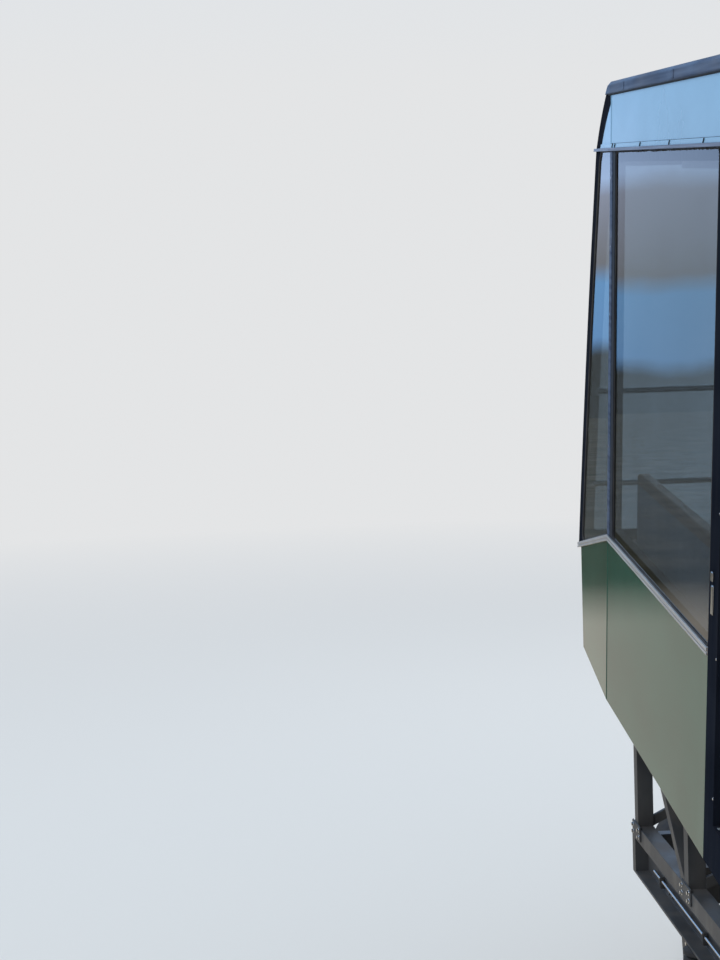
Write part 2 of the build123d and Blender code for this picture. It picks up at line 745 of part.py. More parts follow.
def waist_moulding():
    """The aluminium band from doorway to doorway round one nose."""
    outer = plan(-WAIST_PROUD) & whole(Pos(0, -WAIST_PROUD, 0) * screen_nose(0))
    inner = plan(WALL) & whole(apron_nose(WALL))
    band = (outer - inner) & (above_waist(0) - above_waist(WAIST_BAND))
    groove_floor = WAIST_PROUD - WAIST_GROOVE_DEPTH
    core = plan(-groove_floor) & whole(Pos(0, -groove_floor, 0) * screen_nose(0))
    band -= (above_waist(WAIST_LIP) - above_waist(WAIST_LIP + WAIST_GROOVE)) - core
    ends = block(-WIDE, WIDE, -CORNER_Y - NOSE_ROOM, -DOOR_HALF - POST, LOW_Z, HIGH_Z)
    return band & ends


def window_frame():
    """Right-hand posts and recessed glass rails, with the door portal down to the skirt."""
    x0 = HALF_WIDTH - WALL
    z0 = WAIST_Z + WAIST_BAND
    rail_x = HALF_WIDTH - PANE_INSET - PANE
    post = block(x0, HALF_WIDTH, -CORNER_Y, -CORNER_Y + CORNER_POST, z0, GUTTER_Z)
    side_y0 = -CORNER_Y + CORNER_POST
    side_y1 = -DOOR_HALF - POST
    post += block(x0, rail_x, side_y0, side_y1, z0, z0 + GLASS_RAIL)
    post += block(x0, rail_x, side_y0, side_y1, GUTTER_Z - GLASS_RAIL, GUTTER_Z)
    post += block(x0, HALF_WIDTH, side_y1, -DOOR_HALF, SKIRT_Z, GUTTER_Z)
    frame = post + uphill(post)
    frame += block(x0, HALF_WIDTH, -DOOR_HALF, DOOR_HALF, DOOR_HEAD_Z, GUTTER_Z)
    frame += block(x0, HALF_WIDTH, -DOOR_HALF, DOOR_HALF, SKIRT_Z, 0)
    return frame


def side_window():
    """One pane bonded over its rails, downhill of the right-hand doorway."""
    x1 = HALF_WIDTH - PANE_INSET
    return block(
        x1 - PANE,
        x1,
        -CORNER_Y + CORNER_POST + PANEL_GAP,
        -DOOR_HALF - POST - PANEL_GAP,
        WAIST_Z + WAIST_BAND + PANEL_GAP,
        GUTTER_Z - PANEL_GAP,
    )


def screen_opening():
    """The hole for the windscreen, between the pillar faces, the sill and the head."""
    hole = plan(PILLAR_FACE) & NOSE_SPACE & slab(LOW_Z, SCREEN_HEAD_Z)
    return hole & above_waist(WAIST_BAND + SCREEN_SILL)


def nose_frame():
    """Pillars, brow and sill round one windscreen, in one ring."""
    shell = (screen_nose(0) & plan(0) & NOSE_SPACE) - (screen_nose(WALL) & plan(WALL))
    ring = (shell - screen_nose(PILLAR_DEPTH)) & above_waist(WAIST_BAND)
    return (ring & slab(LOW_Z, ROOF_Z)) - screen_opening()


def windscreen():
    pane = screen_nose(SCREEN_INSET) - screen_nose(SCREEN_INSET + SCREEN_PANE)
    return pane & screen_opening()


def nose_window():
    """The pane between the corner post and the windscreen pillar, on both sides."""
    pane = plan(PANE_INSET) - plan(PANE_INSET + PANE)
    pane = pane & screen_nose(PILLAR_DEPTH + PANEL_GAP) & NOSE_SPACE
    pane = (pane & above_waist(WAIST_BAND + PANEL_GAP)) & slab(LOW_Z, GUTTER_Z - PANEL_GAP)
    return pane & block(0, WIDE, -CORNER_Y - NOSE_ROOM, -CORNER_Y - PANEL_GAP, LOW_Z, HIGH_Z)


def right_band(z0, z1):
    """All the space on the right of the car between two heights."""
    reach = CORNER_Y + NOSE_ROOM
    return block(0, WIDE, -reach, reach, z0, z1)


def header_panel():
    """The pale panel between gutter and roof on the right, with the step along its foot."""
    foot = GUTTER_Z + GUTTER_DEPTH
    length = whole(screen_nose(PILLAR_DEPTH))
    wall = (plan(0) - plan(WALL)) & length & right_band(foot, ROOF_Z)
    step = (plan(-UPSTAND_PROUD) - plan(WALL)) & length & right_band(foot, foot + UPSTAND)
    return wall + step


def gutter():
    """The rail under the right-hand header; its lip runs on past the pillars."""
    root = (plan(0) - plan(WALL)) & whole(screen_nose(PILLAR_DEPTH))
    lip = (plan(-GUTTER_PROUD) - plan(0)) & whole(screen_nose(0))
    return (root + lip) & right_band(GUTTER_Z, GUTTER_Z + GUTTER_DEPTH)


def roof_arch(drop):
    """Cross-section of the crowned roof, moved down by drop, along the whole car."""
    end = CORNER_Y + NOSE_ROOM
    rim_x = HALF_WIDTH + RIM_PROUD
    rise = ROOF_CROWN_Z - RIM_TOP_Z
    radius = (rim_x**2 + rise**2) / (2 * rise)
    edge_z = ROOF_CROWN_Z - radius + math.sqrt(radius**2 - WIDE**2) - drop
    left = Vector(-WIDE, -end, edge_z)
    right = Vector(WIDE, -end, edge_z)
    top = Vector(0, -end, ROOF_CROWN_Z - drop)
    foot = ROOF_Z - ROOF_FOOT
    edges = [
        ThreePointArc(left, top, right),
        Line(right, Vector(WIDE, -end, foot)),
        Line(Vector(WIDE, -end, foot), Vector(-WIDE, -end, foot)),
        Line(Vector(-WIDE, -end, foot), left),
    ]
    return extrude(Face(Wire(edges)), amount=2 * end, dir=(0, 1, 0))


def rim_edges(lid):
    """The rim's long top edges, and the corners where it turns up into the crown."""
    picked = []
    for edge in lid.edges():
        a = edge @ 0
        b = edge @ 1
        outside = min(abs(a.X), abs(b.X)) > HALF_WIDTH - WALL
        raised = max(a.Z, b.Z) > ROOF_Z + RIM_CHAMFER
        upright = math.hypot(a.X - b.X, a.Y - b.Y) < PANEL_GAP
        if outside and raised and not upright:
            picked.append(edge)
    return picked


def roof_shell():
    """The slate lid with its softened rim, open underneath."""
    lid = plan(-RIM_PROUD) & whole(screen_nose(0)) & roof_arch(0) & slab(ROOF_Z, HIGH_Z)
    lid = chamfer(rim_edges(lid), RIM_CHAMFER)
    inner = plan(WALL) & whole(screen_nose(ROOF_SKIN)) & roof_arch(ROOF_SKIN) & slab(ROOF_Z - 1, HIGH_Z)
    return lid - inner


def ceiling():
    inside = whole(screen_nose(WALL + PANEL_GAP)) & plan(WALL + PANEL_GAP)
    return inside & slab(CEILING_Z, CEILING_Z + CEILING_THICKNESS)


# Doors: every leaf is drawn closed, on the right, downhill of the middle
LEAF_X1 = HALF_WIDTH - WALL - LEAF_GAP
LEAF_X0 = LEAF_X1 - LEAF_THICKNESS
LEAF_X = (LEAF_X0 + LEAF_X1) / 2
TRACK_Z0 = DOOR_HEAD_Z + TRACK_WALL * 2
LEAF_TOP_Z = TRACK_Z0 - LEAF_GAP
LEAF_Y0 = -DOOR_HALF - LEAF_LAP
LEAF_Y1 = -MEETING_GAP / 2


def leaf_light():
    """The space for the leaf's glass, as (y0, y1, z0, z1)."""
    return (LEAF_Y0 + LEAF_STILE, LEAF_Y1 - LEAF_STILE, LEAF_FOOT_Z + LEAF_KICK, LEAF_TOP_Z - LEAF_HEAD)


def door_leaf():
    """A door leaf's frame with its two hangers and rollers."""
    y0, y1, z0, z1 = leaf_light()
    leaf = block(LEAF_X0, LEAF_X1, LEAF_Y0, LEAF_Y1, LEAF_FOOT_Z, LEAF_TOP_Z)
    leaf -= block(LEAF_X0 - 1, LEAF_X1 + 1, y0, y1, z0, z1)
    roller_z = TRACK_Z0 + TRACK_WALL + ROLLER_RADIUS + SEAT_GAP
    half_roller = TRACK_WIDTH / 2 - TRACK_WALL - ROLLER_SIDE_GAP
    for y in (LEAF_Y0 + HANGER_INSET, LEAF_Y1 - HANGER_INSET):
        leaf += block(
            LEAF_X - HANGER_PLATE / 2,
            LEAF_X + HANGER_PLATE / 2,
            y - HANGER_LENGTH / 2,
            y + HANGER_LENGTH / 2,
            LEAF_TOP_Z,
            roller_z,
        )
        leaf += rod_x(ROLLER_RADIUS, LEAF_X - half_roller, LEAF_X + half_roller, y, roller_z)
    return leaf


def door_glass():
    y0, y1, z0, z1 = leaf_light()
    g = PANEL_GAP
    return block(LEAF_X - PANE / 2, LEAF_X + PANE / 2, y0 + g, y1 - g, z0 + g, z1 - g)


def door_track():
    """The slotted box that the right-hand rollers run in, on the wall's top rail."""
    x1 = HALF_WIDTH - WALL
    x0 = LEAF_X - TRACK_WIDTH / 2
    z1 = TRACK_Z0 + TRACK_HEIGHT
    y = TRACK_HALF_LENGTH
    track = block(x0, x1, -y, y, TRACK_Z0, z1)
    half = TRACK_WIDTH / 2 - TRACK_WALL
    track -= block(LEAF_X - half, LEAF_X + half, -y - 1, y + 1, TRACK_Z0 + TRACK_WALL, z1 - TRACK_WALL)
    slot = TRACK_SLOT / 2
    return track - block(LEAF_X - slot, LEAF_X + slot, -y - 1, y + 1, TRACK_Z0 - 1, z1 - TRACK_ROOF)


# Inside
BENCH_OUTER_X = HALF_WIDTH - WALL - BENCH_WALL_GAP


def bench_frame():
    """Folded-sheet bench with its back, right-hand and downhill."""
    x0 = BENCH_OUTER_X - BENCH_DEPTH
    y0 = -BENCH_END
    y1 = -BENCH_START
    seat = block(x0 + BENCH_TOE, BENCH_OUTER_X, y0, y1, 0, BENCH_HEIGHT)
    seat -= block(
        x0 + BENCH_TOE + BENCH_SHEET,
        BENCH_OUTER_X - BENCH_SHEET,
        y0 + BENCH_SHEET,
        y1 - BENCH_SHEET,
        -1,
        BENCH_HEIGHT - BENCH_SHEET,
    )
    back_top = BENCH_HEIGHT + BACK_HEIGHT
    return seat + block(BENCH_OUTER_X - BENCH_SHEET, BENCH_OUTER_X, y0, y1, BENCH_HEIGHT, back_top)


def seat_cushion():
    x0 = BENCH_OUTER_X - BENCH_DEPTH
    x1 = BENCH_OUTER_X - BENCH_SHEET - BACK_CUSHION
    z0 = BENCH_HEIGHT + SEAT_GAP
    pad = block(x0, x1 - SEAT_GAP, -BENCH_END, -BENCH_START, z0, z0 + CUSHION)
    return fillet(pad.edges().filter_by(Axis.Y), CUSHION_CORNER)


def back_cushion():
    x1 = BENCH_OUTER_X - BENCH_SHEET - SEAT_GAP
    z0 = BENCH_HEIGHT + SEAT_GAP
    z1 = BENCH_HEIGHT + BACK_HEIGHT - BACK_REVEAL
    pad = block(x1 - BACK_CUSHION + SEAT_GAP, x1, -BENCH_END, -BENCH_START, z0, z1)
    return fillet(pad.edges().filter_by(Axis.Y), CUSHION_CORNER)


def timber_rail():
    """The timber capping over one bench back."""
    z0 = BENCH_HEIGHT + BACK_HEIGHT
    x0 = BENCH_OUTER_X - TIMBER_WIDTH
    rail = block(x0, BENCH_OUTER_X, -BENCH_END, -BENCH_START, z0, z0 + TIMBER_HEIGHT)
    return fillet(rail.edges().filter_by(Axis.Y).group_by(Axis.Z)[-1], TIMBER_ROUND)


def handrail():
    """Two stanchions and the overhead rail between them, right-hand and downhill."""
    near, far = POLE_YS
    rail = rod_y(POLE_RADIUS, -far, -near, POLE_X, OVERHEAD_RAIL_Z)
    for y in POLE_YS:
        rail += rod_z(POLE_RADIUS, 0, CEILING_Z, POLE_X, -y)
        rail += rod_z(POLE_FOOT_RADIUS, 0, POLE_FOOT, POLE_X, -y)
        rail += rod_z(TEE_RADIUS, OVERHEAD_RAIL_Z - TEE_REACH, OVERHEAD_RAIL_Z + TEE_REACH, POLE_X, -y)
    return rail


def nose_rail(reach, z):
    """A bar across the nose, between the windscreen pillars."""
    return rod_x(NOSE_RAIL_RADIUS, -WIDE, WIDE, -CORNER_Y - reach, z) & plan(WALL)


def driver_desk():
    """The console at the downhill end, with its raked top."""
    y1 = -CORNER_Y - DESK_REACH + DESK_DEPTH
    y0 = -CORNER_Y - DESK_REACH
    points = [
        (y0, 0),
        (y1 - DESK_FOOT_TUCK, 0),
        (y1 - DESK_KNEE_TUCK, DESK_KNEE_Z),
        (y1, DESK_BROW_Z),
        (y1, DESK_LIP_Z),
        (y0 + DESK_TOP_DEPTH, DESK_HEIGHT),
        (y0, DESK_HEIGHT),
    ]
    return plate_yz(points, DESK_X - DESK_WIDTH / 2, DESK_X + DESK_WIDTH / 2)


def ceiling_light():
    """A light strip under the right-hand half of the ceiling."""
    half = LIGHT_WIDTH / 2
    points = [
        (LIGHT_X - half, CEILING_Z),
        (LIGHT_X + half, CEILING_Z),
        (LIGHT_X + half - LIGHT_BEVEL, CEILING_Z - LIGHT_DEPTH),
        (LIGHT_X - half + LIGHT_BEVEL, CEILING_Z - LIGHT_DEPTH),
    ]
    return plate_xz(points, -LIGHT_HALF_LENGTH, LIGHT_HALF_LENGTH)


# Lamps and wiper
def apron_y(x, z):
    """How far downhill the apron's face lies at (x, z)."""
    slope = math.tan(math.radians(APRON_UNDERCUT_DEG))
    radius = bow_point(APRON_REACH + (z - APRON_Z) * slope, z).Y
    return BOW_CENTRE_Y - math.sqrt(radius**2 - x**2)


def screen_y(z):
    """How far downhill the screen lies at its middle, at height z."""
    ray = Edge.make_line(Vector(0, -BOW_RADIUS * 1.3, z), Vector(0, -BOW_RADIUS * 0.5, z))
    outline = [(TIP_REACH, TIP_Z), (BELLY_REACH, BELLY_Z), (BROW_REACH, BROW_Z)]
    arc = ThreePointArc(*[bow_point(reach, height) for reach, height in outline])
    hit = arc.edge().distance_to_with_closest_points(ray)[1]
    return BOW_CENTRE_Y + hit.Y


def lamp_rod(x, radius, depth):
    """A rod along Y through the apron's lamp place."""
    y = apron_y(x, LAMP_Z) - LAMP_PROUD
    return rod_y(radius, y, y + depth, x, LAMP_Z)


def lamp(x, radius):
    """A lamp with a rounded bezel."""
    body = lamp_rod(x, radius, LAMP_DEPTH)
    return fillet(body.edges().group_by(Axis.Y)[0], LAMP_ROUND)


def wiper():
    """Arm and blade resting just off the middle of the screen."""
    half = WIPER_ARM / 2
    foot = (screen_y(WIPER_FOOT_Z), WIPER_FOOT_Z)
    top = (screen_y(WIPER_TOP_Z), WIPER_TOP_Z)
    blade_foot = (screen_y(WIPER_BLADE_FOOT_Z), WIPER_BLADE_FOOT_Z)
    blade_top = (screen_y(WIPER_BLADE_TOP_Z), WIPER_BLADE_TOP_Z)
    gap = WIPER_STANDOFF
    arm_points = [
        (foot[0] - gap - WIPER_ARM_DEPTH, foot[1]),
        (foot[0] - gap, foot[1]),
        (top[0] - gap - WIPER_ARM_LIFT, top[1]),
        (top[0] - gap - WIPER_ARM_LIFT - WIPER_ARM_DEPTH, top[1]),
    ]
    blade_points = [
        (blade_foot[0] - gap - WIPER_BLADE_DEPTH, blade_foot[1]),
        (blade_foot[0] + gap, blade_foot[1]),
        (blade_top[0] + gap, blade_top[1]),
        (blade_top[0] - gap - WIPER_BLADE_DEPTH, blade_top[1]),
    ]
    arm = plate_yz(arm_points, WIPER_X - half, WIPER_X + half)
    blade = plate_yz(blade_points, WIPER_X - half / 2, WIPER_X + half / 2)
    blade -= Pos(0, -SEAT_GAP, 0) * screen_nose(SCREEN_INSET)
    pivot = rod_y(WIPER_PIVOT_RADIUS, foot[0] - gap - WIPER_CAP, foot[0] + WALL, WIPER_X, WIPER_FOOT_Z)
    pivot -= screen_nose(0)
    return arm + blade + pivot


def solids(*shapes):
    """Every solid of some shapes, as one list."""
    return [s for shape in shapes for s in shape.solids()]


def save(name, *shapes):
    """Writes one node, in the frame that it stands in."""
    found = solids(*shapes)
    whole_node = found[0] if len(found) == 1 else Compound(found)
    export_step(whole_node, f"parts/{name}.step")


def save_cabin(name, *shapes):
    """Writes one node of the cabin, tilted onto the wedge."""
    save(name, *[SEAT * s for s in solids(*shapes)])


set_of_wheels = wheelset()
axle_y = AXLE_SPACING / 2
save("wheelset_downhill", Pos(0, -axle_y, AXLE_Z) * set_of_wheels)
save("wheelset_uphill", Pos(0, axle_y, AXLE_Z) * set_of_wheels)
save("chassis_frame", chassis_frame())
save("axleboxes", *four(axlebox()))
save("horn_guides", *four(horn_guide()))
save("axle_springs", *four(axle_spring()))
save("rail_brakes", *four(rail_brake()))
save("rail_guards", *four(rail_guard()))
save("buffers", *four(buffer()))
save("rope_drawbar", rope_drawbar())
save("tow_eye", tow_eye())
save("power_pack", power_pack())
truss = wedge_truss()
save("wedge_truss_right", truss)
save("wedge_truss_left", mirrored(truss))
save("wedge_braces", *[bar for y in CROSS_BRACE_YS for bar in cross_brace(y)])

save_cabin("floor_frame", floor_frame())
save_cabin("floor_deck", floor_deck())
save_cabin("lower_panels", *four(lower_panel()))
apron = nose_apron()
save_cabin("nose_apron_downhill", apron)
save_cabin("nose_apron_uphill", uphill(apron))
moulding = waist_moulding()
save_cabin("waist_mouldings", moulding, uphill(moulding))
frame_right = window_frame()
save_cabin("window_frame_right", frame_right)
save_cabin("window_frame_left", mirrored(frame_right))
save_cabin("side_windows", *four(side_window()))
ring = nose_frame()
save_cabin("nose_frame_downhill", ring)
save_cabin("nose_frame_uphill", uphill(ring))
screen = windscreen()
save_cabin("windscreens", screen, uphill(screen))
save_cabin("nose_windows", *four(nose_window()))
header = header_panel()
save_cabin("header_right", header)
save_cabin("header_left", mirrored(header))
save_cabin("gutters", *both_sides(gutter()))
save_cabin("roof_shell", roof_shell())
save_cabin("ceiling", ceiling())

door_places = [
    ("right_downhill", lambda piece: piece),
    ("left_downhill", mirrored),
    ("right_uphill", uphill),
    ("left_uphill", lambda piece: mirrored(uphill(piece))),
]
leaf = door_leaf()
pane = door_glass()
for place, moved in door_places:
    save_cabin(f"door_leaf_{place}", moved(leaf))
    save_cabin(f"door_glass_{place}", moved(pane))
save_cabin("door_tracks", *both_sides(door_track()))

save_cabin("bench_frames", *four(bench_frame()))
save_cabin("seat_cushions", *four(seat_cushion()))
save_cabin("back_cushions", *four(back_cushion()))
save_cabin("timber_rails", *four(timber_rail()))
save_cabin("handrails", *four(handrail()))
bars = [nose_rail(reach, z) for reach, z in NOSE_RAILS]
save_cabin("nose_rails", *bars, *[uphill(bar) for bar in bars])
desk = driver_desk()
save_cabin("driver_desks", desk, mirrored(uphill(desk)))
save_cabin("ceiling_lights", *both_sides(ceiling_light()))
for name, x, radius in LAMPS:
    save_cabin(name, *four(lamp(x, radius)))
arm = wiper()
save_cabin("wipers", arm, uphill(arm))
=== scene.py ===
# %% [markdown]
# This file dresses a funicular car. The real one carries a level passenger cabin on a wedge of
# steel trusses, and the wedge stands on a four-wheel chassis that runs on a steep track. The solids
# come from CAD and stay where they are. Everything here is in metres, in the frame of the rails: X
# across the track, Y up the hill, Z square to the rails. The work goes from the outside in: the
# view, the light, the finishes, then the small pieces that the eye expects.

# %% Load the frame and note its size
import json
import math
import random

import bmesh
import bpy
from mathutils import Matrix, Vector

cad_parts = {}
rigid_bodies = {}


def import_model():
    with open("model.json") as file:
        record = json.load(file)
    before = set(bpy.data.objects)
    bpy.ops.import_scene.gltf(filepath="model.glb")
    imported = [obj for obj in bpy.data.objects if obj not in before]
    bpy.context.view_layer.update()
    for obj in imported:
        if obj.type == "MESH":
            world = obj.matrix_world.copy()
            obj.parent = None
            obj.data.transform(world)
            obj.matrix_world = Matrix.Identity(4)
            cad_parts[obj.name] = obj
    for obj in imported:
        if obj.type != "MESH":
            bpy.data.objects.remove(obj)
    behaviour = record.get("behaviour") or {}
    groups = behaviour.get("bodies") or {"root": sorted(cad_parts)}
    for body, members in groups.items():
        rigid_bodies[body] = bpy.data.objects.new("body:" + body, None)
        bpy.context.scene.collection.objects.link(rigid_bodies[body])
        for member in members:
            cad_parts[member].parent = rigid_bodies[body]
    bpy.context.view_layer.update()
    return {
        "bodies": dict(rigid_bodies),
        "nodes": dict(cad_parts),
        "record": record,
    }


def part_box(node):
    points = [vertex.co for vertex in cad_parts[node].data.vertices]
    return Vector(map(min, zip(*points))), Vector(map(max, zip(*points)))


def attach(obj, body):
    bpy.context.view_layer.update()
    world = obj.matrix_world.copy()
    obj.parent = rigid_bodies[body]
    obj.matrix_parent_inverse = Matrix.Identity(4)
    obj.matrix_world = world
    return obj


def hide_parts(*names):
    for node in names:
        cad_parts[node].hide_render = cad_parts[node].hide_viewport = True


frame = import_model()
nodes = frame["nodes"]

# %% [markdown]
# The cabin stands level on a 15 percent grade, so in the frame of the rails it leans by 8.5 degrees
# about X. Pieces of the cabin are drawn level, with the floor at height 0, and this one matrix then
# seats them on the wedge.

# %% Seat the cabin on its wedge
CABIN_TILT = math.radians(-8.5)
SEAT = Matrix.Translation((0, 0, 1.42)) @ Matrix.Rotation(CABIN_TILT, 4, "X")
HALF_WIDTH = 1.1
CORNER_Y = 2.431
DOOR_HALF = 0.65
POST = 0.112
WAIST_Z = 0.6
GUTTER_Z = 2.364
corner = SEAT @ Vector((HALF_WIDTH, -CORNER_Y, 0))
print("the downhill corner of the cabin's floor sits at", [round(v, 3) for v in corner])

# %% [markdown]
# The camera stands where the photographer stood: uphill of the car and beside it, so that the long
# side runs away from the lens. A camera can be placed by angles, or by two directions. The
# directions were worked out from the lines of the photograph, so they are used as they are: where
# its right side points, and where it looks.

# %% Place the camera
LENS_MM = 56.25
FARTHEST = 300.0


def in_scene(name, data):
    """A new object of the scene, which holds a mesh, a lamp or a camera."""
    made = bpy.data.objects.new(name, data)
    bpy.context.collection.objects.link(made)
    return made


def place_camera(place, to_the_right, looking):
    """A camera from its place and two directions; the lens is for a frame whose long side is 36 mm."""
    camera = in_scene("camera", bpy.data.cameras.new("camera"))
    camera.data.lens = LENS_MM
    camera.data.clip_end = FARTHEST
    back = -Vector(looking).normalized()
    right = Vector(to_the_right)
    right = (right - right.dot(back) * back).normalized()
    turn = Matrix((right, back.cross(right), back)).transposed()
    camera.matrix_world = Matrix.Translation(place) @ turn.to_4x4()
    bpy.context.scene.camera = camera
    return camera


camera = place_camera((2.550, 4.551, 3.107), (-0.99839, 0.04709, -0.03319), (-0.04504, -0.99722, -0.06002))
print("the camera is", round(camera.location.z, 2), "m above the wheels' foot")

# %% [markdown]
# Every finish and every repeated piece below is a tree of nodes. Typing each node by hand takes
# five lines, so one helper adds a node, sets its properties, and feeds each input with a socket or
# a plain value.

# %% Add one node
def add(tree, kind, feeds=None, **properties):
    """One new node of a tree. feeds maps an input's name or number to a socket or to a plain value."""
    made = tree.nodes.new(kind)
    for key, value in properties.items():
        setattr(made, key, value)
    for key, value in (feeds or {}).items():
        if isinstance(value, bpy.types.NodeSocket):
            tree.links.new(value, made.inputs[key])
        else:
            made.inputs[key].default_value = value
    return made


def out(tree, kind, feeds=None, **properties):
    """The first output of a new node."""
    return add(tree, kind, feeds, **properties).outputs[0]


def maths(tree, operation, *values):
    """One or two values through a Math node."""
    return out(tree, "ShaderNodeMath", dict(enumerate(values)), operation=operation)


def ramp(tree, value, start, end, low=0.0, high=1.0):
    """A value that runs from low to high while its driver runs from start to end."""
    feeds = {"Value": value, "From Min": start, "From Max": end, "To Min": low, "To Max": high}
    return out(tree, "ShaderNodeMapRange", feeds)


def tint(tree, share, first, second):
    """Two colours mixed by a share; each may be a socket or three numbers."""
    colours = [c if isinstance(c, bpy.types.NodeSocket) else (*c, 1) for c in (first, second)]
    return add(tree, "ShaderNodeMix", {0: share, 6: colours[0], 7: colours[1]}, data_type="RGBA").outputs[2]


def here(tree):
    """The place on the object that is being shaded."""
    return add(tree, "ShaderNodeTexCoord").outputs["Object"]


def new_material(name, **plain):
    """A material with one Principled shader, whose named sockets get plain values."""
    material = bpy.data.materials.new(name)
    material.use_nodes = True
    for label, value in plain.items():
        skin(material.node_tree).inputs[label.replace("_", " ")].default_value = value
    return material


def skin(tree):
    """The Principled shader of a material's tree."""
    return tree.nodes["Principled BSDF"]


def blend(tree, share, first, second):
    """Two shaders mixed by a share, as what the material shows."""
    both = out(tree, "ShaderNodeMixShader", {0: share, 1: first, 2: second})
    tree.links.new(both, tree.nodes["Material Output"].inputs["Surface"])
    return both


# %% [markdown]
# The studio is plain: a pale floor and a pale sky all round, with two big soft lamps. The sky
# lights the car at one strength, and shows behind it and through its glass at another, so that the
# background stays pale without washing out the colours. Gloss needs something to mirror, and out of
# doors that is bright sky above a dark line of hills. The photograph's glass shows just that, so
# mirrored rays, and only those, find a plain sky, hills and ground.

# %% Build the studio
HORIZON = (0.84, 0.85, 0.86)
ZENITH = (0.66, 0.80, 0.95)
SHOWN = 0.92
MIRRORED_BANDS = [
    (0.00, (0.04, 0.045, 0.04)),
    (0.51, (0.05, 0.055, 0.045)),
    (0.54, (0.24, 0.56, 1.08)),
    (0.64, (0.26, 0.62, 1.16)),
    (0.67, (0.34, 0.35, 0.38)),
    (0.79, (0.54, 0.60, 0.78)),
    (0.82, (0.80, 1.10, 1.66)),
    (1.00, (0.50, 0.84, 1.38)),
]
BAND_RANGE = (-0.34, 0.06)
RIDGE = 0.012
LEVEL_UP = (0, math.sin(-CABIN_TILT), math.cos(CABIN_TILT))
ROAD_END = (15.0, 19.0)
ROAD = (0.60, 0.56, 0.49)
BUSH_SHADE = (0.01, 0.015, 0.01)
BUSH_LIT = (0.15, 0.15, 0.12)


def mirrored_share(tree):
    """1 for a ray that has just been mirrored, and 0 for any other."""
    path = add(tree, "ShaderNodeLightPath").outputs
    direct = maths(tree, "SUBTRACT", 1.0, path["Is Transmission Ray"])
    return maths(tree, "MULTIPLY", path["Is Glossy Ray"], direct)


def build_sky(light, shown):
    """A world that lights with one strength, is seen with another, and is mirrored with hills."""
    world = bpy.data.worlds.new("sky")
    world.use_nodes = True
    bpy.context.scene.world = world
    tree = world.node_tree
    tree.nodes.clear()
    path = add(tree, "ShaderNodeLightPath").outputs
    seen = maths(tree, "MAXIMUM", path["Is Camera Ray"], path["Is Glossy Ray"])
    seen = maths(tree, "MAXIMUM", seen, path["Is Transmission Ray"])
    direction = add(tree, "ShaderNodeTexCoord").outputs["Generated"]
    level = add(tree, "ShaderNodeVectorMath", {0: direction, 1: LEVEL_UP}, operation="DOT_PRODUCT")
    height = level.outputs["Value"]
    fall = add(tree, "ShaderNodeValToRGB", {0: ramp(tree, height, 0.05, 0.6)})
    fall.color_ramp.elements[0].color = (*HORIZON, 1)
    fall.color_ramp.elements[1].color = (*ZENITH, 1)
    ridges = out(tree, "ShaderNodeTexNoise", {"Vector": direction, "Scale": 5.0, "Detail": 6.0})
    height = maths(tree, "ADD", height, ramp(tree, ridges, 0.3, 0.7, -RIDGE, RIDGE))
    hills = add(tree, "ShaderNodeValToRGB", {0: ramp(tree, height, *BAND_RANGE)})
    while len(hills.color_ramp.elements) < len(MIRRORED_BANDS):
        hills.color_ramp.elements.new(0.5)
    for element, (place, colour) in zip(hills.color_ramp.elements, MIRRORED_BANDS):
        element.position = place
        element.color = (*colour, 1)
    shade = tint(tree, mirrored_share(tree), fall.outputs[0], hills.outputs[0])
    strength = ramp(tree, seen, 0.0, 1.0, light, shown)
    glow = out(tree, "ShaderNodeBackground", {"Color": shade, "Strength": strength})
    add(tree, "ShaderNodeOutputWorld", {"Surface": glow})


def lamp(name, kind, direction, energy):
    """A lamp that shines in a direction."""
    made = in_scene(name, bpy.data.lights.new(name, kind))
    made.data.energy = energy
    made.rotation_euler = Vector(direction).to_track_quat("-Z", "Y").to_euler()
    return made


def soft_lamp(name, place, target, watts, width, height):
    """A rectangular softbox that looks at a point."""
    made = lamp(name, "AREA", Vector(target) - Vector(place), watts)
    made.location = place
    made.data.shape = "RECTANGLE"
    made.data.size = width
    made.data.size_y = height
    return made


def sun(name, direction, strength, softness_deg):
    """An even light over the whole length of the car."""
    lamp(name, "SUN", direction, strength).data.angle = math.radians(softness_deg)


def as_mesh(shape, name):
    """A bmesh written out as a mesh."""
    mesh = bpy.data.meshes.new(name)
    shape.to_mesh(mesh)
    shape.free()
    return mesh


def lay_floor(reach):
    """A pale round floor at the wheels' foot, which fades into the sky's colour at the horizon."""
    shape = bmesh.new()
    bmesh.ops.create_circle(shape, cap_ends=True, radius=reach, segments=64)
    floor = in_scene("studio_floor", as_mesh(shape, "studio_floor"))
    plain = {"Base_Color": (0.72, 0.72, 0.71, 1), "Roughness": 0.9, "Specular_IOR_Level": 0.1}
    material = new_material("studio_floor", **plain)
    tree = material.node_tree
    away = add(tree, "ShaderNodeVectorMath", {0: here(tree)}, operation="LENGTH").outputs["Value"]
    haze = out(tree, "ShaderNodeEmission", {"Color": (*HORIZON, 1), "Strength": SHOWN})
    shown = blend(tree, ramp(tree, away, 7.0, 30.0), skin(tree).outputs[0], haze)
    bushes = out(tree, "ShaderNodeTexNoise", {"Vector": here(tree), "Scale": 0.8, "Detail": 6.0})
    ground = tint(tree, ramp(tree, away, *ROAD_END), ROAD, tint(tree, bushes, BUSH_SHADE, BUSH_LIT))
    mirrored = out(tree, "ShaderNodeEmission", {"Color": ground, "Strength": 1.0})
    blend(tree, mirrored_share(tree), shown, mirrored)
    floor.data.materials.append(material)


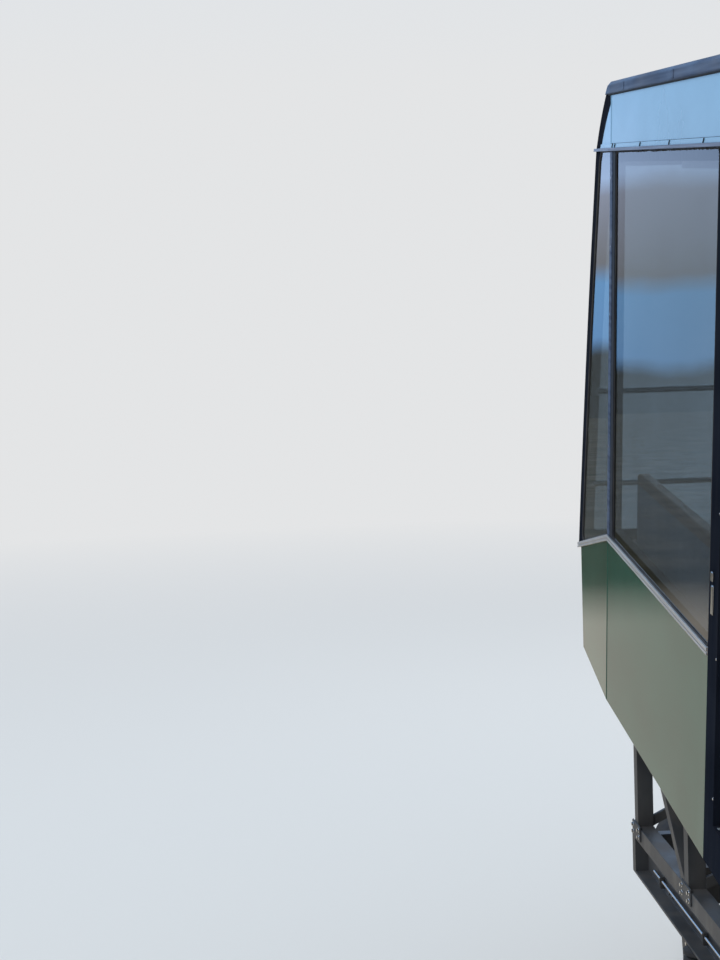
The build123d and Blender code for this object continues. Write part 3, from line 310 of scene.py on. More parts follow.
bpy.context.scene.view_settings.view_transform = "Standard"
build_sky(light=0.60, shown=SHOWN)
lay_floor(reach=140.0)
sun("key_sun", (-0.62, -0.38, -0.75), 1.25, 32.0)
sun("fill_sun", (0.55, 0.70, -0.60), 0.50, 50.0)
soft_lamp("side_softbox", (9.0, -3.0, 9.0), (1.0, -1.5, 2.6), 170, 9.0, 4.0)
nose_softbox = soft_lamp("nose_softbox", (-3.0, -11.0, 8.0), (0.0, -3.0, 2.6), 140, 6.0, 4.0)
nose_softbox.visible_glossy = False

# %% [markdown]
# A finish is more than a colour: paint fades in clouds, dust settles in streaks, and no edge is as
# sharp as CAD draws it. These helpers give every finish the same few words. cloud() is noise with
# cells of a real size, laid level with the cabin or square to the rails. between() turns such noise
# into a range, and tint() mixes two colours by it.

# %% Words for the finishes
finishes = {}


def blank_finish(name, **plain):
    """The node tree of a new finish."""
    finishes[name] = new_material(name, **plain)
    return finishes[name].node_tree


def placed(tree, size=(1, 1, 1), seed=0.0, level=True):
    """Object coordinates, turned level with the cabin if asked, and counted in cells of a size in metres."""
    turn = (CABIN_TILT if level else 0.0, 0, 0)
    feeds = {"Vector": here(tree), "Location": (seed,) * 3, "Rotation": turn, "Scale": size}
    return out(tree, "ShaderNodeMapping", feeds, vector_type="TEXTURE")


def cloud(tree, size, detail=3.0, seed=0.0, level=True):
    """Noise whose cells measure size in metres: one number, or three for X, Y and Z."""
    cells = size if isinstance(size, tuple) else (size,) * 3
    feeds = {"Vector": placed(tree, cells, seed, level), "Scale": 1.0, "Detail": detail}
    return out(tree, "ShaderNodeTexNoise", feeds)


def axes(tree, size=1.0, level=True):
    """X, Y and Z of the shaded place, counted in cells of a size."""
    return add(tree, "ShaderNodeSeparateXYZ", {0: placed(tree, (size,) * 3, level=level)}).outputs


def between(tree, value, low=0.0, high=1.0, start=0.3, end=0.7):
    """Noise turned into a range: its middle part runs from low to high."""
    return ramp(tree, value, start, end, low, high)


def relief(tree, height, depth, edge=0.0):
    """Bump of a depth in metres, over edges that look rounded by a few millimetres."""
    feeds = {"Height": height, "Distance": depth, "Strength": 1.0}
    if edge:
        feeds["Normal"] = out(tree, "ShaderNodeBevel", {"Radius": edge}, samples=4)
    feed(tree, Normal=out(tree, "ShaderNodeBump", feeds))


def feed(tree, **sockets):
    """Links sockets to the shader's inputs of the same name."""
    for label, socket in sockets.items():
        tree.links.new(socket, skin(tree).inputs[label.replace("_", " ")])


# %% [markdown]
# Most of the car is sprayed sheet metal. On the real car it has a base coat that has faded
# unevenly, a clear coat with a faint orange peel, and road dust that rain has drawn into upright
# streaks. One recipe makes all the paints; what differs is the colour, how glossy it still is, and
# how much dust it carries.

# %% Paint
def paint(
    name,
    colour,
    rough,
    gloss=0.2,
    fade=0.25,
    dust=0.15,
    dust_colour=(0.30, 0.28, 0.25),
    level=True,
    edge=0.003,
    wash=0.05,
):
    """Sprayed paint with clouds and streaks; gloss is the specular level, wash a streak's width."""
    tree = blank_finish(name, Specular_IOR_Level=gloss)
    faded = tuple(min(1.0, c * (1 + fade) + 0.02 * fade) for c in colour)
    deep = tuple(c * (1 - fade) for c in colour)
    clouds = cloud(tree, (0.45, 0.6, 0.35), 5.0, 3.0, level)
    streaks = cloud(tree, (wash, wash, 0.7), 4.0, 11.0, level)
    specks = cloud(tree, 0.010, 2.0, 5.0, level)
    base = tint(tree, between(tree, clouds), deep, faded)
    dusty = between(tree, streaks, 0.0, dust, 0.45, 0.75)
    feed(tree, Base_Color=tint(tree, dusty, base, dust_colour))
    feed(tree, Roughness=between(tree, streaks, rough * 0.8, min(1.0, rough * 1.5 + 0.03), 0.3, 0.8))
    relief(tree, specks, 0.0004 * rough**2, edge)


paint(
    "chassis_paint",
    (0.040, 0.043, 0.047),
    0.42,
    fade=0.30,
    dust=0.35,
    dust_colour=(0.15, 0.13, 0.11),
    level=False,
    edge=0.005,
    wash=0.16,
)
paint("pack_paint", (0.26, 0.28, 0.29), 0.35, fade=0.15, dust=0.30, level=False, edge=0.006)
paint("green_paint", (0.010, 0.068, 0.048), 0.08, gloss=0.50, fade=0.20, dust=0.05, edge=0.004, wash=0.20)
paint("frame_paint", (0.009, 0.012, 0.020), 0.45, gloss=0.0, fade=0.20, dust=0.02, edge=0.004)
# The pale blue base colour of the header is a painted reflection of the sky on its glossy sheet.
paint(
    "header_paint",
    (0.195, 0.365, 0.530),
    0.20,
    gloss=0.25,
    fade=0.08,
    dust=0.05,
    dust_colour=(0.40, 0.48, 0.52),
    wash=0.45,
)
paint("ceiling_white", (0.66, 0.67, 0.66), 0.45, fade=0.06, dust=0.06)
paint("bench_sheet", (0.20, 0.22, 0.24), 0.40, fade=0.12, dust=0.08, edge=0.004)
print("paints:", sorted(finishes))

# %% [markdown]
# The roof shows as a slate-blue rim. Its paint is older than the rest: the sun has chalked it, and
# rain has washed pale streaks across it. Long streaks run with the slope of the sheet, so the noise
# is drawn out along the car, and a second, finer noise breaks them up.

# %% Old roof paint
def weathered_roof():
    tree = blank_finish("roof_paint", Roughness=0.55, Specular_IOR_Level=0.12)
    washes = cloud(tree, (0.05, 0.55, 0.02), 6.0, 2.0)
    patches = cloud(tree, (0.20, 0.30, 0.20), 5.0, 9.0)
    pits = cloud(tree, 0.004, 2.0)
    base = tint(
        tree, between(tree, washes, 0.0, 1.0, 0.35, 0.7), (0.030, 0.045, 0.085), (0.085, 0.120, 0.190)
    )
    chalk = between(tree, patches, 0.0, 0.4, 0.5, 0.75)
    feed(tree, Base_Color=tint(tree, chalk, base, (0.17, 0.20, 0.26)))
    feed(tree, Roughness=between(tree, patches, 0.35, 0.65))
    relief(tree, pits, 0.0002, 0.010)


weathered_roof()
print("the roof paint has", len(finishes["roof_paint"].node_tree.nodes), "nodes")

# %% [markdown]
# Bare metals differ in how they were worked. Extruded aluminium has fine lines along its length and
# a dull oxide; a stainless tube is smoother; a casting is rough and brown with dust; and a wheel is
# polished only where it rolls. The wheel reads its own distance from the axle, so the bright ring
# stays on the tread however the wheel turns.

# %% Metals
def drawn_metal(name, colour, rough, line, oxide=(0.30, 0.29, 0.28), dull=0.35, edge=0.0015):
    """Metal with fine lines; line is the cell of one scratch, in metres."""
    tree = blank_finish(name, Metallic=1.0)
    lines = cloud(tree, line, 3.0, 4.0)
    bloom = cloud(tree, (0.10, 0.30, 0.05), 4.0, 8.0)
    base = tint(tree, between(tree, bloom, 0.0, dull), colour, oxide)
    feed(tree, Base_Color=base, Roughness=between(tree, lines, rough * 0.75, rough * 1.4))
    relief(tree, lines, 0.00006, edge)


def casting():
    tree = blank_finish("cast_iron", Metallic=0.35)
    grit = cloud(tree, 0.005, 4.0, level=False)
    dust = cloud(tree, (0.15, 0.15, 0.10), 5.0, 6.0, level=False)
    rust = tint(tree, between(tree, dust, 0.0, 0.8), (0.050, 0.048, 0.047), (0.115, 0.075, 0.052))
    feed(tree, Base_Color=rust, Roughness=between(tree, grit, 0.5, 0.8))
    relief(tree, grit, 0.0009, 0.004)


def rolling_steel(axle_y=2.0, axle_z=0.328, tread=0.293):
    """Dusty brown web, bright rolled tread; both axles share it, since it counts from |Y|."""
    tree = blank_finish("wheel_steel", Metallic=0.9)
    spot = axes(tree, level=False)
    along = maths(tree, "SUBTRACT", maths(tree, "ABSOLUTE", spot["Y"]), axle_y)
    away = out(tree, "ShaderNodeCombineXYZ", {0: along, 1: maths(tree, "SUBTRACT", spot["Z"], axle_z)})
    radius = add(tree, "ShaderNodeVectorMath", {0: away}, operation="LENGTH").outputs["Value"]
    polish = between(tree, radius, 0.0, 1.0, tread, tread + 0.006)
    grit = cloud(tree, 0.006, 3.0, level=False)
    grime = cloud(tree, 0.06, 5.0, 6.0, level=False)
    web = tint(tree, between(tree, grime), (0.060, 0.050, 0.045), (0.130, 0.085, 0.060))
    feed(tree, Base_Color=tint(tree, polish, web, (0.52, 0.51, 0.50)))
    feed(tree, Roughness=between(tree, polish, 0.62, 0.22, 0.0, 1.0))
    relief(tree, grit, 0.0004, 0.003)


drawn_metal("bright_aluminium", (0.66, 0.61, 0.55), 0.50, (0.002, 0.30, 0.002), oxide=(0.42, 0.39, 0.36))
drawn_metal("gutter_metal", (0.22, 0.20, 0.21), 0.34, (0.002, 0.25, 0.002), oxide=(0.16, 0.14, 0.13))
drawn_metal("rail_steel", (0.55, 0.56, 0.57), 0.18, (0.0015, 0.08, 0.0015), dull=0.10)
casting()
rolling_steel()
print("metals:", [name for name in finishes if name.endswith(("metal", "steel", "iron", "aluminium"))])

# %% [markdown]
# Rubber, moulded plastic and the floor covering are dark and dull, and the eye tells them apart by
# their grain: rubber is fine and powdery, the desk has a leathery grain, and the floor has round
# studs 25 mm apart. The studs are two sine waves multiplied, which costs nothing to draw, where
# real studs would be thousands of small meshes.

# %% Rubber, plastic and floor covering
def moulding(name, colour, bloom, rough, grain, depth, level=True):
    """A dull moulded finish; bloom is the paler colour of its worn patches."""
    tree = blank_finish(name, Specular_IOR_Level=0.25)
    fine = cloud(tree, grain, 3.0, 2.0, level)
    worn = cloud(tree, 0.12, 4.0, 7.0, level)
    feed(tree, Base_Color=tint(tree, between(tree, worn, 0.0, 0.7), colour, bloom))
    feed(tree, Roughness=between(tree, fine, rough * 0.9, min(1.0, rough * 1.15)))
    relief(tree, fine, depth, 0.002)


def floor_covering(pitch=0.025):
    tree = blank_finish("deck_covering", Roughness=0.6)
    spot = axes(tree, pitch / math.tau)
    studs = maths(tree, "MULTIPLY", *[maths(tree, "SINE", spot[axis]) for axis in "XY"])
    studs = between(tree, studs, 0.0, 1.0, 0.35, 0.6)
    flecks = cloud(tree, 0.003, 1.0)
    base = tint(
        tree, between(tree, flecks, 0.0, 1.0, 0.55, 0.65), (0.075, 0.085, 0.100), (0.26, 0.27, 0.28)
    )
    feed(tree, Base_Color=base)
    relief(tree, studs, 0.0012)


moulding("spring_rubber", (0.022, 0.022, 0.024), (0.060, 0.057, 0.052), 0.72, 0.003, 0.0002, level=False)
moulding("wiper_black", (0.008, 0.010, 0.014), (0.020, 0.023, 0.030), 0.60, 0.002, 0.0001)
moulding("desk_plastic", (0.045, 0.048, 0.052), (0.065, 0.068, 0.072), 0.50, 0.0035, 0.0004)
floor_covering()
print("dull finishes:", list(finishes)[-4:])

# %% [markdown]
# The windows are the face of this car. Real panes are tinted, bonded to the frame with black
# adhesive, and carry a thin film of dust. The shader is clear glass with a tint, a film that varies
# its gloss, and one trick: for rays on their way to a lamp it is plain see-through, because
# otherwise a path tracer leaves the whole cabin in darkness.

# %% Glass
def glazing(name, colour, lamp_share, film=0.015):
    """Tinted glass; lamp_share is the colour of the light that it lets into the cabin."""
    tree = blank_finish(name, IOR=1.45, Transmission_Weight=1.0, Specular_IOR_Level=0.5)
    dust = cloud(tree, (0.25, 0.35, 0.60), 5.0, 1.0)
    smears = cloud(tree, (0.02, 0.03, 0.30), 4.0, 6.0)
    paler = tuple(min(1.0, c * 1.12) for c in colour)
    feed(tree, Base_Color=tint(tree, between(tree, dust), colour, paler))
    feed(tree, Roughness=between(tree, smears, 0.0, film, 0.45, 0.8))
    clear = out(tree, "ShaderNodeBsdfTransparent", {"Color": (*lamp_share, 1)})
    to_lamp = add(tree, "ShaderNodeLightPath").outputs["Is Shadow Ray"]
    blend(tree, to_lamp, skin(tree).outputs[0], clear)


glazing("tinted_glass", (0.19, 0.24, 0.30), (0.50, 0.55, 0.60))
glazing("screen_glass", (0.52, 0.60, 0.62), (0.75, 0.80, 0.82))
glazing("lamp_glass", (0.86, 0.89, 0.91), (0.9, 0.9, 0.9), film=0.02)
print("glass:", [name for name in finishes if name.endswith("glass")])

# %% [markdown]
# Timber, cloth and the two lamp plastics are left. Timber is the same noise drawn out along the
# plank, once for the grain and once for the slow bands. The cloth is woven: two sets of threads
# cross, so two waves make both its bump and its flecks, and a little sheen gives the soft edge that
# cloth has where it turns away from the eye.

# %% Timber, cloth and lamp plastics
RIB = 0.008


def oiled_timber():
    tree = blank_finish("timber", Coat_Weight=0.15, Coat_Roughness=0.35)
    fibre = cloud(tree, (0.003, 0.25, 0.003), 5.0, 2.0)
    bands = cloud(tree, (0.020, 0.90, 0.020), 3.0, 5.0)
    base = tint(tree, between(tree, bands), (0.150, 0.070, 0.032), (0.300, 0.160, 0.080))
    feed(tree, Base_Color=tint(tree, between(tree, fibre, 0.0, 0.6), base, (0.085, 0.038, 0.018)))
    feed(tree, Roughness=between(tree, fibre, 0.38, 0.60))
    relief(tree, fibre, 0.0003, 0.003)


def woven_cloth(thread=0.0035):
    tree = blank_finish("seat_fabric", Roughness=0.88, Sheen_Weight=0.35, Sheen_Roughness=0.45)
    spot = axes(tree, thread / math.tau)
    warp = maths(tree, "SINE", maths(tree, "ADD", spot["X"], spot["Z"]))
    weave = maths(tree, "MULTIPLY", warp, maths(tree, "SINE", spot["Y"]))
    flecks = cloud(tree, 0.006, 2.0, 3.0)
    worn = cloud(tree, (0.18, 0.18, 0.12), 4.0, 8.0)
    base = tint(
        tree, between(tree, weave, 0.0, 1.0, -0.6, 0.6), (0.020, 0.045, 0.130), (0.050, 0.105, 0.260)
    )
    base = tint(tree, between(tree, flecks, 0.0, 0.8, 0.60, 0.66), base, (0.30, 0.42, 0.55))
    feed(tree, Base_Color=tint(tree, between(tree, worn, 0.0, 0.25), base, (0.22, 0.25, 0.32)))
    relief(tree, weave, 0.0006)


def lens_plastic(name, colour, deep, glow=0.0):
    """A moulded lens whose fine ribs are upright waves."""
    shine = {"Emission_Color": (*colour, 1), "Emission_Strength": glow}
    tree = blank_finish(name, Roughness=0.12, Coat_Weight=0.6, **shine)
    ribs = maths(tree, "SINE", axes(tree, RIB / math.tau)["X"])
    haze = cloud(tree, 0.05)
    feed(tree, Base_Color=tint(tree, between(tree, haze), deep, colour))
    relief(tree, ribs, 0.0005, 0.002)


oiled_timber()
woven_cloth()
lens_plastic("tail_lamp_red", (0.42, 0.012, 0.010), (0.24, 0.006, 0.006))
lens_plastic("light_diffuser", (0.86, 0.86, 0.83), (0.74, 0.75, 0.74), glow=0.25)
print("all finishes:", len(finishes))

# %% [markdown]
# Each CAD node names the slot that it takes its finish from, so the record itself says which
# material goes where. The node keeps its mesh; only what is in its material slots changes.

# %% Dress the solids
for piece in frame["record"]["subparts"]:
    mesh = nodes[piece["node"]].data
    mesh.materials.clear()
    mesh.materials.append(finishes[piece["material_slot"]])

# %% [markdown]
# What is left is small: seals, bolts, plates, pipes and pads. Each ends as a plain mesh. Pieces of
# the cabin are drawn level and seated by one matrix, so a strip that is upright on the real car is
# also upright in its own numbers. Sizes that belong to the solids are read from them, so a piece
# stays in place when the CAD changes.

# %% Finish a piece
def finish_piece(name, mesh, slot, body="car", level=True):
    """Makes a mesh a piece of the car: seated, dressed and carried by a body."""
    if level:
        mesh.transform(SEAT)
    mesh.materials.clear()
    mesh.materials.append(finishes[slot])
    piece = in_scene(name, mesh)
    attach(piece, body)
    return piece


def level_box(node):
    """The lowest and highest corner of a CAD node, seen level with the cabin."""
    back = SEAT.inverted()
    spots = [back @ vertex.co for vertex in nodes[node].data.vertices]
    return [Vector([pick(spot[k] for spot in spots) for k in range(3)]) for pick in (min, max)]


def plain_mesh(shape, name):
    """A bmesh written out as a mesh, with its faces pointing outwards."""
    bmesh.ops.recalc_face_normals(shape, faces=shape.faces)
    return as_mesh(shape, name)


HEADER_TOP = level_box("header_right")[1].z
GLASS_FOOT = level_box("side_windows")[0].z
GLASS_TOP = level_box("side_windows")[1].z
SKIRT_Z = level_box("lower_panels")[0].z
print("the side glass is", round(GLASS_TOP - GLASS_FOOT, 3), "m high")

# %% [markdown]
# The car is the same on its left and its right, and at both ends. So a detail is drawn once, on the
# side where X and Y are positive, and a list of signs says where it is repeated: on both sides, or
# on all four corners.

# %% Draw once, repeat by signs
CORNERS = [(x_side, y_side) for x_side in (1, -1) for y_side in (1, -1)]
SIDES = [(1, 1), (-1, 1)]
ONCE = [(1, 1)]


def mirrored(paths, signs=SIDES):
    """Chains of points, repeated by signs."""
    return [[Vector((sx * x, sy * y, z)) for x, y, z in path] for sx, sy in signs for path in paths]


def facing(spots, signs=CORNERS, axis=0):
    """Points repeated by signs, each with its way out along X (axis 0) or Y (axis 1)."""
    ways = [Vector((0, sy, 0)) if axis else Vector((sx, 0, 0)) for sx, sy in signs]
    return [(spot, way) for path, way in zip(mirrored([spots], signs), ways) for spot in path]


def add_block(shape, size, place, soft):
    """Adds a block of a size, placed by a matrix, with its edges softened."""
    made = bmesh.ops.create_cube(shape, size=1.0, matrix=place @ Matrix.Diagonal((*size, 1)))
    edges = {edge for vertex in made["verts"] for edge in vertex.link_edges}
    bmesh.ops.bevel(shape, geom=list(edges), offset=soft, segments=2, affect="EDGES")


def plates(name, slot, blocks, signs=CORNERS, level=True):
    """One piece of softened blocks: each (low, high, softness) is repeated by signs."""
    shape = bmesh.new()
    for x_side, y_side in signs:
        side = Vector((x_side, y_side, 1))
        for low, high, soft in blocks:
            size = [abs(b - a) for a, b in zip(low, high)]
            middle = (Vector(low) + Vector(high)) / 2 * side
            add_block(shape, size, Matrix.Translation(middle), min(soft, min(size) * 0.4))
    return finish_piece(name, plain_mesh(shape, name), slot, level=level)


print("a detail is repeated on", len(SIDES), "sides or on", len(CORNERS), "corners")

# %% [markdown]
# Seals, pipes and seams are all beads that follow a path. In Blender a path can be a curve with a
# bevel, but then each one is a curve object with its own settings. Here one tree of Geometry Nodes
# does them all: it takes the edges of a mesh as its path, rounds the corners, and runs a round
# section along it. Its radius, its corners and its raggedness are named inputs, so one recipe gives
# a neat gasket, a bent pipe and a smeared joint of sealant.

# %% A tree for beads and pipes
def start_tree(name, **sockets):
    """An empty tree with a mesh, some named inputs and a material; returns it and its inputs."""
    tree = bpy.data.node_groups.new(name, "GeometryNodeTree")
    kinds = {"Geometry": "Geometry", **sockets, "Material": "Material"}
    for label, kind in kinds.items():
        label = label.replace("_", " ")
        tree.interface.new_socket(name=label, in_out="INPUT", socket_type=f"NodeSocket{kind}")
    tree.interface.new_socket(name="Geometry", in_out="OUTPUT", socket_type="NodeSocketGeometry")
    return tree, tree.nodes.new("NodeGroupInput").outputs


def end_tree(tree, made, given, smooth):
    """Realizes the instances, sets the finish, and closes the tree."""
    shaded = out(tree, "GeometryNodeSetShadeSmooth", {"Geometry": made, "Shade Smooth": smooth})
    real = out(tree, "GeometryNodeRealizeInstances", {0: shaded})
    dressed = out(tree, "GeometryNodeSetMaterial", {"Geometry": real, "Material": given["Material"]})
    tree.links.new(dressed, tree.nodes.new("NodeGroupOutput").inputs[0])
    return tree


def kept_mesh(holder):
    """What an object looks like with its modifiers, as a plain mesh; the object goes."""
    mesh = bpy.data.meshes.new_from_object(holder.evaluated_get(bpy.context.evaluated_depsgraph_get()))
    holder.modifiers.clear()
    bpy.data.objects.remove(holder)
    return mesh


def grow(tree, seed, slot, **sizes):
    """Runs a tree on a seed mesh with some named sizes, and keeps the result as a plain mesh."""
    holder = in_scene("seed", seed)
    modifier = holder.modifiers.new("grow", "NODES")
    modifier.node_group = tree
    sockets = {item.name: item.identifier for item in tree.interface.items_tree if item.in_out == "INPUT"}
    for label, value in sizes.items():
        modifier[sockets[label.replace("_", " ")]] = value
    modifier[sockets["Material"]] = finishes[slot]
    return kept_mesh(holder)


def bead_tree():
    """A round bead along the edges of a mesh, with rounded corners and, if asked, a ragged outline."""
    sizes = {"Radius": "Float", "Corner": "Float", "Sides": "Int", "Ragged": "Float", "Step": "Float"}
    tree, given = start_tree("bead", **sizes)
    path = out(tree, "GeometryNodeMeshToCurve", {"Mesh": given["Geometry"]})
    feeds = {"Curve": path, "Radius": given["Corner"], "Limit Radius": True, "Count": 4}
    bent = out(tree, "GeometryNodeFilletCurve", feeds, mode="POLY")
    feeds = {"Curve": bent, "Length": given["Step"]}
    fine = out(tree, "GeometryNodeResampleCurve", feeds, mode="LENGTH")
    is_ragged = out(tree, "FunctionNodeCompare", {0: given["Ragged"], 1: 0.0}, operation="GREATER_THAN")
    feeds = {"Switch": is_ragged, "False": bent, "True": fine}
    line = out(tree, "GeometryNodeSwitch", feeds, input_type="GEOMETRY")
    feeds = {"Resolution": given["Sides"], "Radius": given["Radius"]}
    ring = out(tree, "GeometryNodeCurvePrimitiveCircle", feeds, mode="RADIUS")
    feeds = {"Curve": line, "Profile Curve": ring, "Fill Caps": True}
    bead = out(tree, "GeometryNodeCurveToMesh", feeds)
    lumps = add(tree, "ShaderNodeTexNoise", {"Scale": 45.0, "Detail": 2.0}).outputs["Color"]
    push = out(tree, "ShaderNodeVectorMath", {0: lumps, 1: (0.5, 0.5, 0.5)}, operation="SUBTRACT")
    push = out(tree, "ShaderNodeVectorMath", {0: push, "Scale": given["Ragged"]}, operation="SCALE")
    moved = out(tree, "GeometryNodeSetPosition", {"Geometry": bead, "Offset": push})
    return end_tree(tree, moved, given, True)


BEAD = bead_tree()


def lines_mesh(paths, closed=False):
    """A mesh that holds only edges: one chain of points for each path."""
    mesh = bpy.data.meshes.new("paths")
    points = [point for path in paths for point in path]
    edges = []
    start = 0
    for path in paths:
        edges += [(start + k, start + k + 1) for k in range(len(path) - 1)]
        if closed:
            edges.append((start + len(path) - 1, start))
        start += len(path)
    mesh.from_pydata(points, edges, [])
    return mesh


def bead_mesh(seed, slot, radius, corner=0.0, sides=8, ragged=0.0, step=0.01):
    """A bead along the edges of a mesh, or along chains of points."""
    seed = lines_mesh(seed) if isinstance(seed, list) else seed
    return grow(BEAD, seed, slot, Radius=radius, Corner=corner, Sides=sides, Ragged=ragged, Step=step)


def bead(name, seed, slot, radius, body="car", level=True, **shape):
    """One bead as a piece of the car."""
    return finish_piece(name, bead_mesh(seed, slot, radius, **shape), slot, body, level)


print("the bead tree has", len(BEAD.nodes), "nodes")

# %% [markdown]
# Bolts, screws and buttons stand square to whatever carries them. A point can carry that direction
# with it as an attribute, here called aim, and the tree turns one head to it and copies the head to
# every point. A head with six sides is a bolt, and one with sixteen is a screw or a button; a
# washer goes under it.

# %% A tree for bolts
WASHER_SIDES = 16


def upright(tree, sides, radius, depth, foot=None):
    """A cylinder whose foot is at height 0, or at a height that a socket gives."""
    feeds = {"Vertices": sides, "Radius": radius, "Depth": depth}
    made = out(tree, "GeometryNodeMeshCylinder", feeds)
    lift = maths(tree, "MULTIPLY", depth, 0.5)
    lift = lift if foot is None else maths(tree, "ADD", lift, foot)
    up = out(tree, "ShaderNodeCombineXYZ", {"Z": lift})
    return out(tree, "GeometryNodeTransform", {"Geometry": made, "Translation": up})


def stud_tree():
    """A head with its washer on every point of a mesh, looking along the point's aim."""
    sizes = {f"{piece}_{size}": "Float" for piece in ("Head", "Washer") for size in ("Radius", "Height")}
    tree, given = start_tree("studs", Sides="Int", **sizes)
    aim = out(tree, "GeometryNodeInputNamedAttribute", {"Name": "aim"}, data_type="FLOAT_VECTOR")
    turn = out(tree, "FunctionNodeAlignRotationToVector", {"Vector": aim}, axis="Z")
    washer = given["Washer Height"]
    head = upright(tree, given["Sides"], given["Head Radius"], given["Head Height"], foot=washer)
    disc = upright(tree, WASHER_SIDES, given["Washer Radius"], washer)
    both = add(tree, "GeometryNodeJoinGeometry", {0: head})
    tree.links.new(disc, both.inputs[0])
    feeds = {"Points": given["Geometry"], "Instance": both.outputs[0], "Rotation": turn}
    return end_tree(tree, out(tree, "GeometryNodeInstanceOnPoints", feeds), given, False)


STUDS = stud_tree()


def studs(name, spots, slot, radius=0.009, height=0.007, sides=6, washer=1.45, level=False):
    """Bolts at (place, aim) pairs, as one piece."""
    seed = bpy.data.meshes.new("spots")
    seed.from_pydata([place for place, _ in spots], [], [])
    aims = seed.attributes.new("aim", "FLOAT_VECTOR", "POINT")
    for k, (_, aim) in enumerate(spots):
        aims.data[k].vector = aim
    sizes = {"Head_Radius": radius, "Head_Height": height, "Sides": sides}
    mesh = grow(STUDS, seed, slot, Washer_Radius=radius * washer, Washer_Height=height * 0.3, **sizes)
    return finish_piece(name, mesh, slot, level=level)


print("the bolt tree has", len(STUDS.nodes), "nodes")

# %% [markdown]
# Louvres, sill treads, ceiling joints and gutter clips are rows of one bar. A third tree lays a row
# of bars from each point of its seed mesh, with a step, a size and a tilt that are all inputs.

# %% A tree for rows of bars
def row_tree():
    """A row of bars from every point of a mesh."""
    tree, given = start_tree("rows", Count="Int", Step="Vector", Size="Vector", Tilt="Vector")
    bar = out(tree, "GeometryNodeMeshCube", {"Size": given["Size"]})
    feeds = {"Count": given["Count"], "Offset": given["Step"]}
    line = out(tree, "GeometryNodeMeshLine", feeds, mode="OFFSET")
    turn = out(tree, "FunctionNodeEulerToRotation", {0: given["Tilt"]})
    feeds = {"Points": line, "Instance": bar, "Rotation": turn}
    row = out(tree, "GeometryNodeInstanceOnPoints", feeds)
    feeds = {"Points": given["Geometry"], "Instance": row}
    return end_tree(tree, out(tree, "GeometryNodeInstanceOnPoints", feeds), given, False)


ROWS = row_tree()


def bars(name, starts, slot, count, step, size, tilt=(0, 0, 0), level=True):
    """Rows of bars from some starting points, as one piece."""
    seed = bpy.data.meshes.new("starts")
    seed.from_pydata(starts, [], [])
    mesh = grow(ROWS, seed, slot, Count=count, Step=step, Size=size, Tilt=tilt)
    return finish_piece(name, mesh, slot, level=level)


print("the row tree has", len(ROWS.nodes), "nodes")

# %% [markdown]
# Every pane of the real car sits in black rubber, which shows as a dark line round the glass. The
# line follows the edge of the pane, so the path is taken from the solid itself: of the faces of a
# pane, those that look outwards are kept, and the edges on the border of that patch are the path.
# It works for flat panes and for the bowed windscreens.

# %% Rubber round the glass
def rim_of(node, outward):
    """The border of a pane node's outer faces, as a mesh of edges; outward gives the way out at a point."""
    shape = bmesh.new()
    shape.from_mesh(nodes[node].data)
    bmesh.ops.remove_doubles(shape, verts=shape.verts, dist=0.0001)
    shape.normal_update()
    shown = {face for face in shape.faces if face.normal.dot(outward(face.calc_center_median())) > 0.5}
    border = [edge for edge in shape.edges if sum(face in shown for face in edge.link_faces) == 1]
    corners = dict.fromkeys(vertex for edge in border for vertex in edge.verts)
    places = {vertex: k for k, vertex in enumerate(corners)}
    mesh = bpy.data.meshes.new(node + "_rim")
    edges = [[places[vertex] for vertex in edge.verts] for edge in border]
    mesh.from_pydata([vertex.co.copy() for vertex in corners], edges, [])
    shape.free()
    return mesh


def sideways(spot):
    return Vector((math.copysign(1.0, spot.x), 0, 0))


def endways(spot):
    return Vector((0, math.copysign(1.0, spot.y), 0))


SEAL = 0.006
LEAVES = [name for name in frame["bodies"] if name.startswith("leaf_")]
for node, outward in (("side_windows", sideways), ("nose_windows", sideways), ("windscreens", endways)):
    piece = bead(f"seal_{node}", rim_of(node, outward), "spring_rubber", SEAL, corner=0.03, level=False)
    print(piece.name, "has", len(piece.data.polygons), "faces")
for body in LEAVES:
    rim = rim_of(body.replace("leaf", "door_glass"), sideways)
    bead(f"seal_{body}", rim, "spring_rubber", SEAL, corner=0.04, body=body, level=False)

# %% [markdown]
# The corner posts carry two strips: a painted cover towards the nose, and a flat black gasket
# towards the long window. They meet at a shadow line. Above and below it the sheet is folded, and a
# fold is round, so a slim bead in the paint of the sheet takes the sharpness off. This corner is
# the nearest that the photograph comes to the car.

# %% Corner strips and joints
POST_COVER = 0.048
POST_WIDTH = CORNER_Y - level_box("side_windows")[1].y
FOLD_X = HALF_WIDTH - 0.001
SCREW_GAP = 0.30
strip_x = HALF_WIDTH - 0.002
cover_x = HALF_WIDTH + 0.004
cover = ((strip_x, CORNER_Y - POST_COVER, GLASS_FOOT), (cover_x, CORNER_Y, GUTTER_Z), 0.002)
plates("corner_covers", "roof_paint", [cover])
gasket_low = (strip_x, CORNER_Y - POST_WIDTH - 0.004, GLASS_FOOT)
gasket_high = (HALF_WIDTH + 0.002, CORNER_Y - POST_COVER - 0.002, GUTTER_Z)
plates("corner_gaskets", "wiper_black", [(gasket_low, gasket_high, 0.001)])
spots = facing([(cover_x, CORNER_Y - POST_COVER / 2, GLASS_FOOT + 0.12 + SCREW_GAP * k) for k in range(6)])
studs("corner_screws", spots, "rail_steel", radius=0.005, height=0.0015, sides=16, washer=1.05, level=True)
folds = {"header_paint": (GUTTER_Z + 0.033, HEADER_TOP), "green_paint": (SKIRT_Z + 0.004, WAIST_Z)}
for slot, heights in folds.items():
    line = [(FOLD_X, CORNER_Y, z) for z in heights]
    bead(f"fold_{slot}", mirrored([line], CORNERS), slot, 0.0035, sides=10)
print("corner strips, their", len(spots), "screws and the folds' round edges are on")
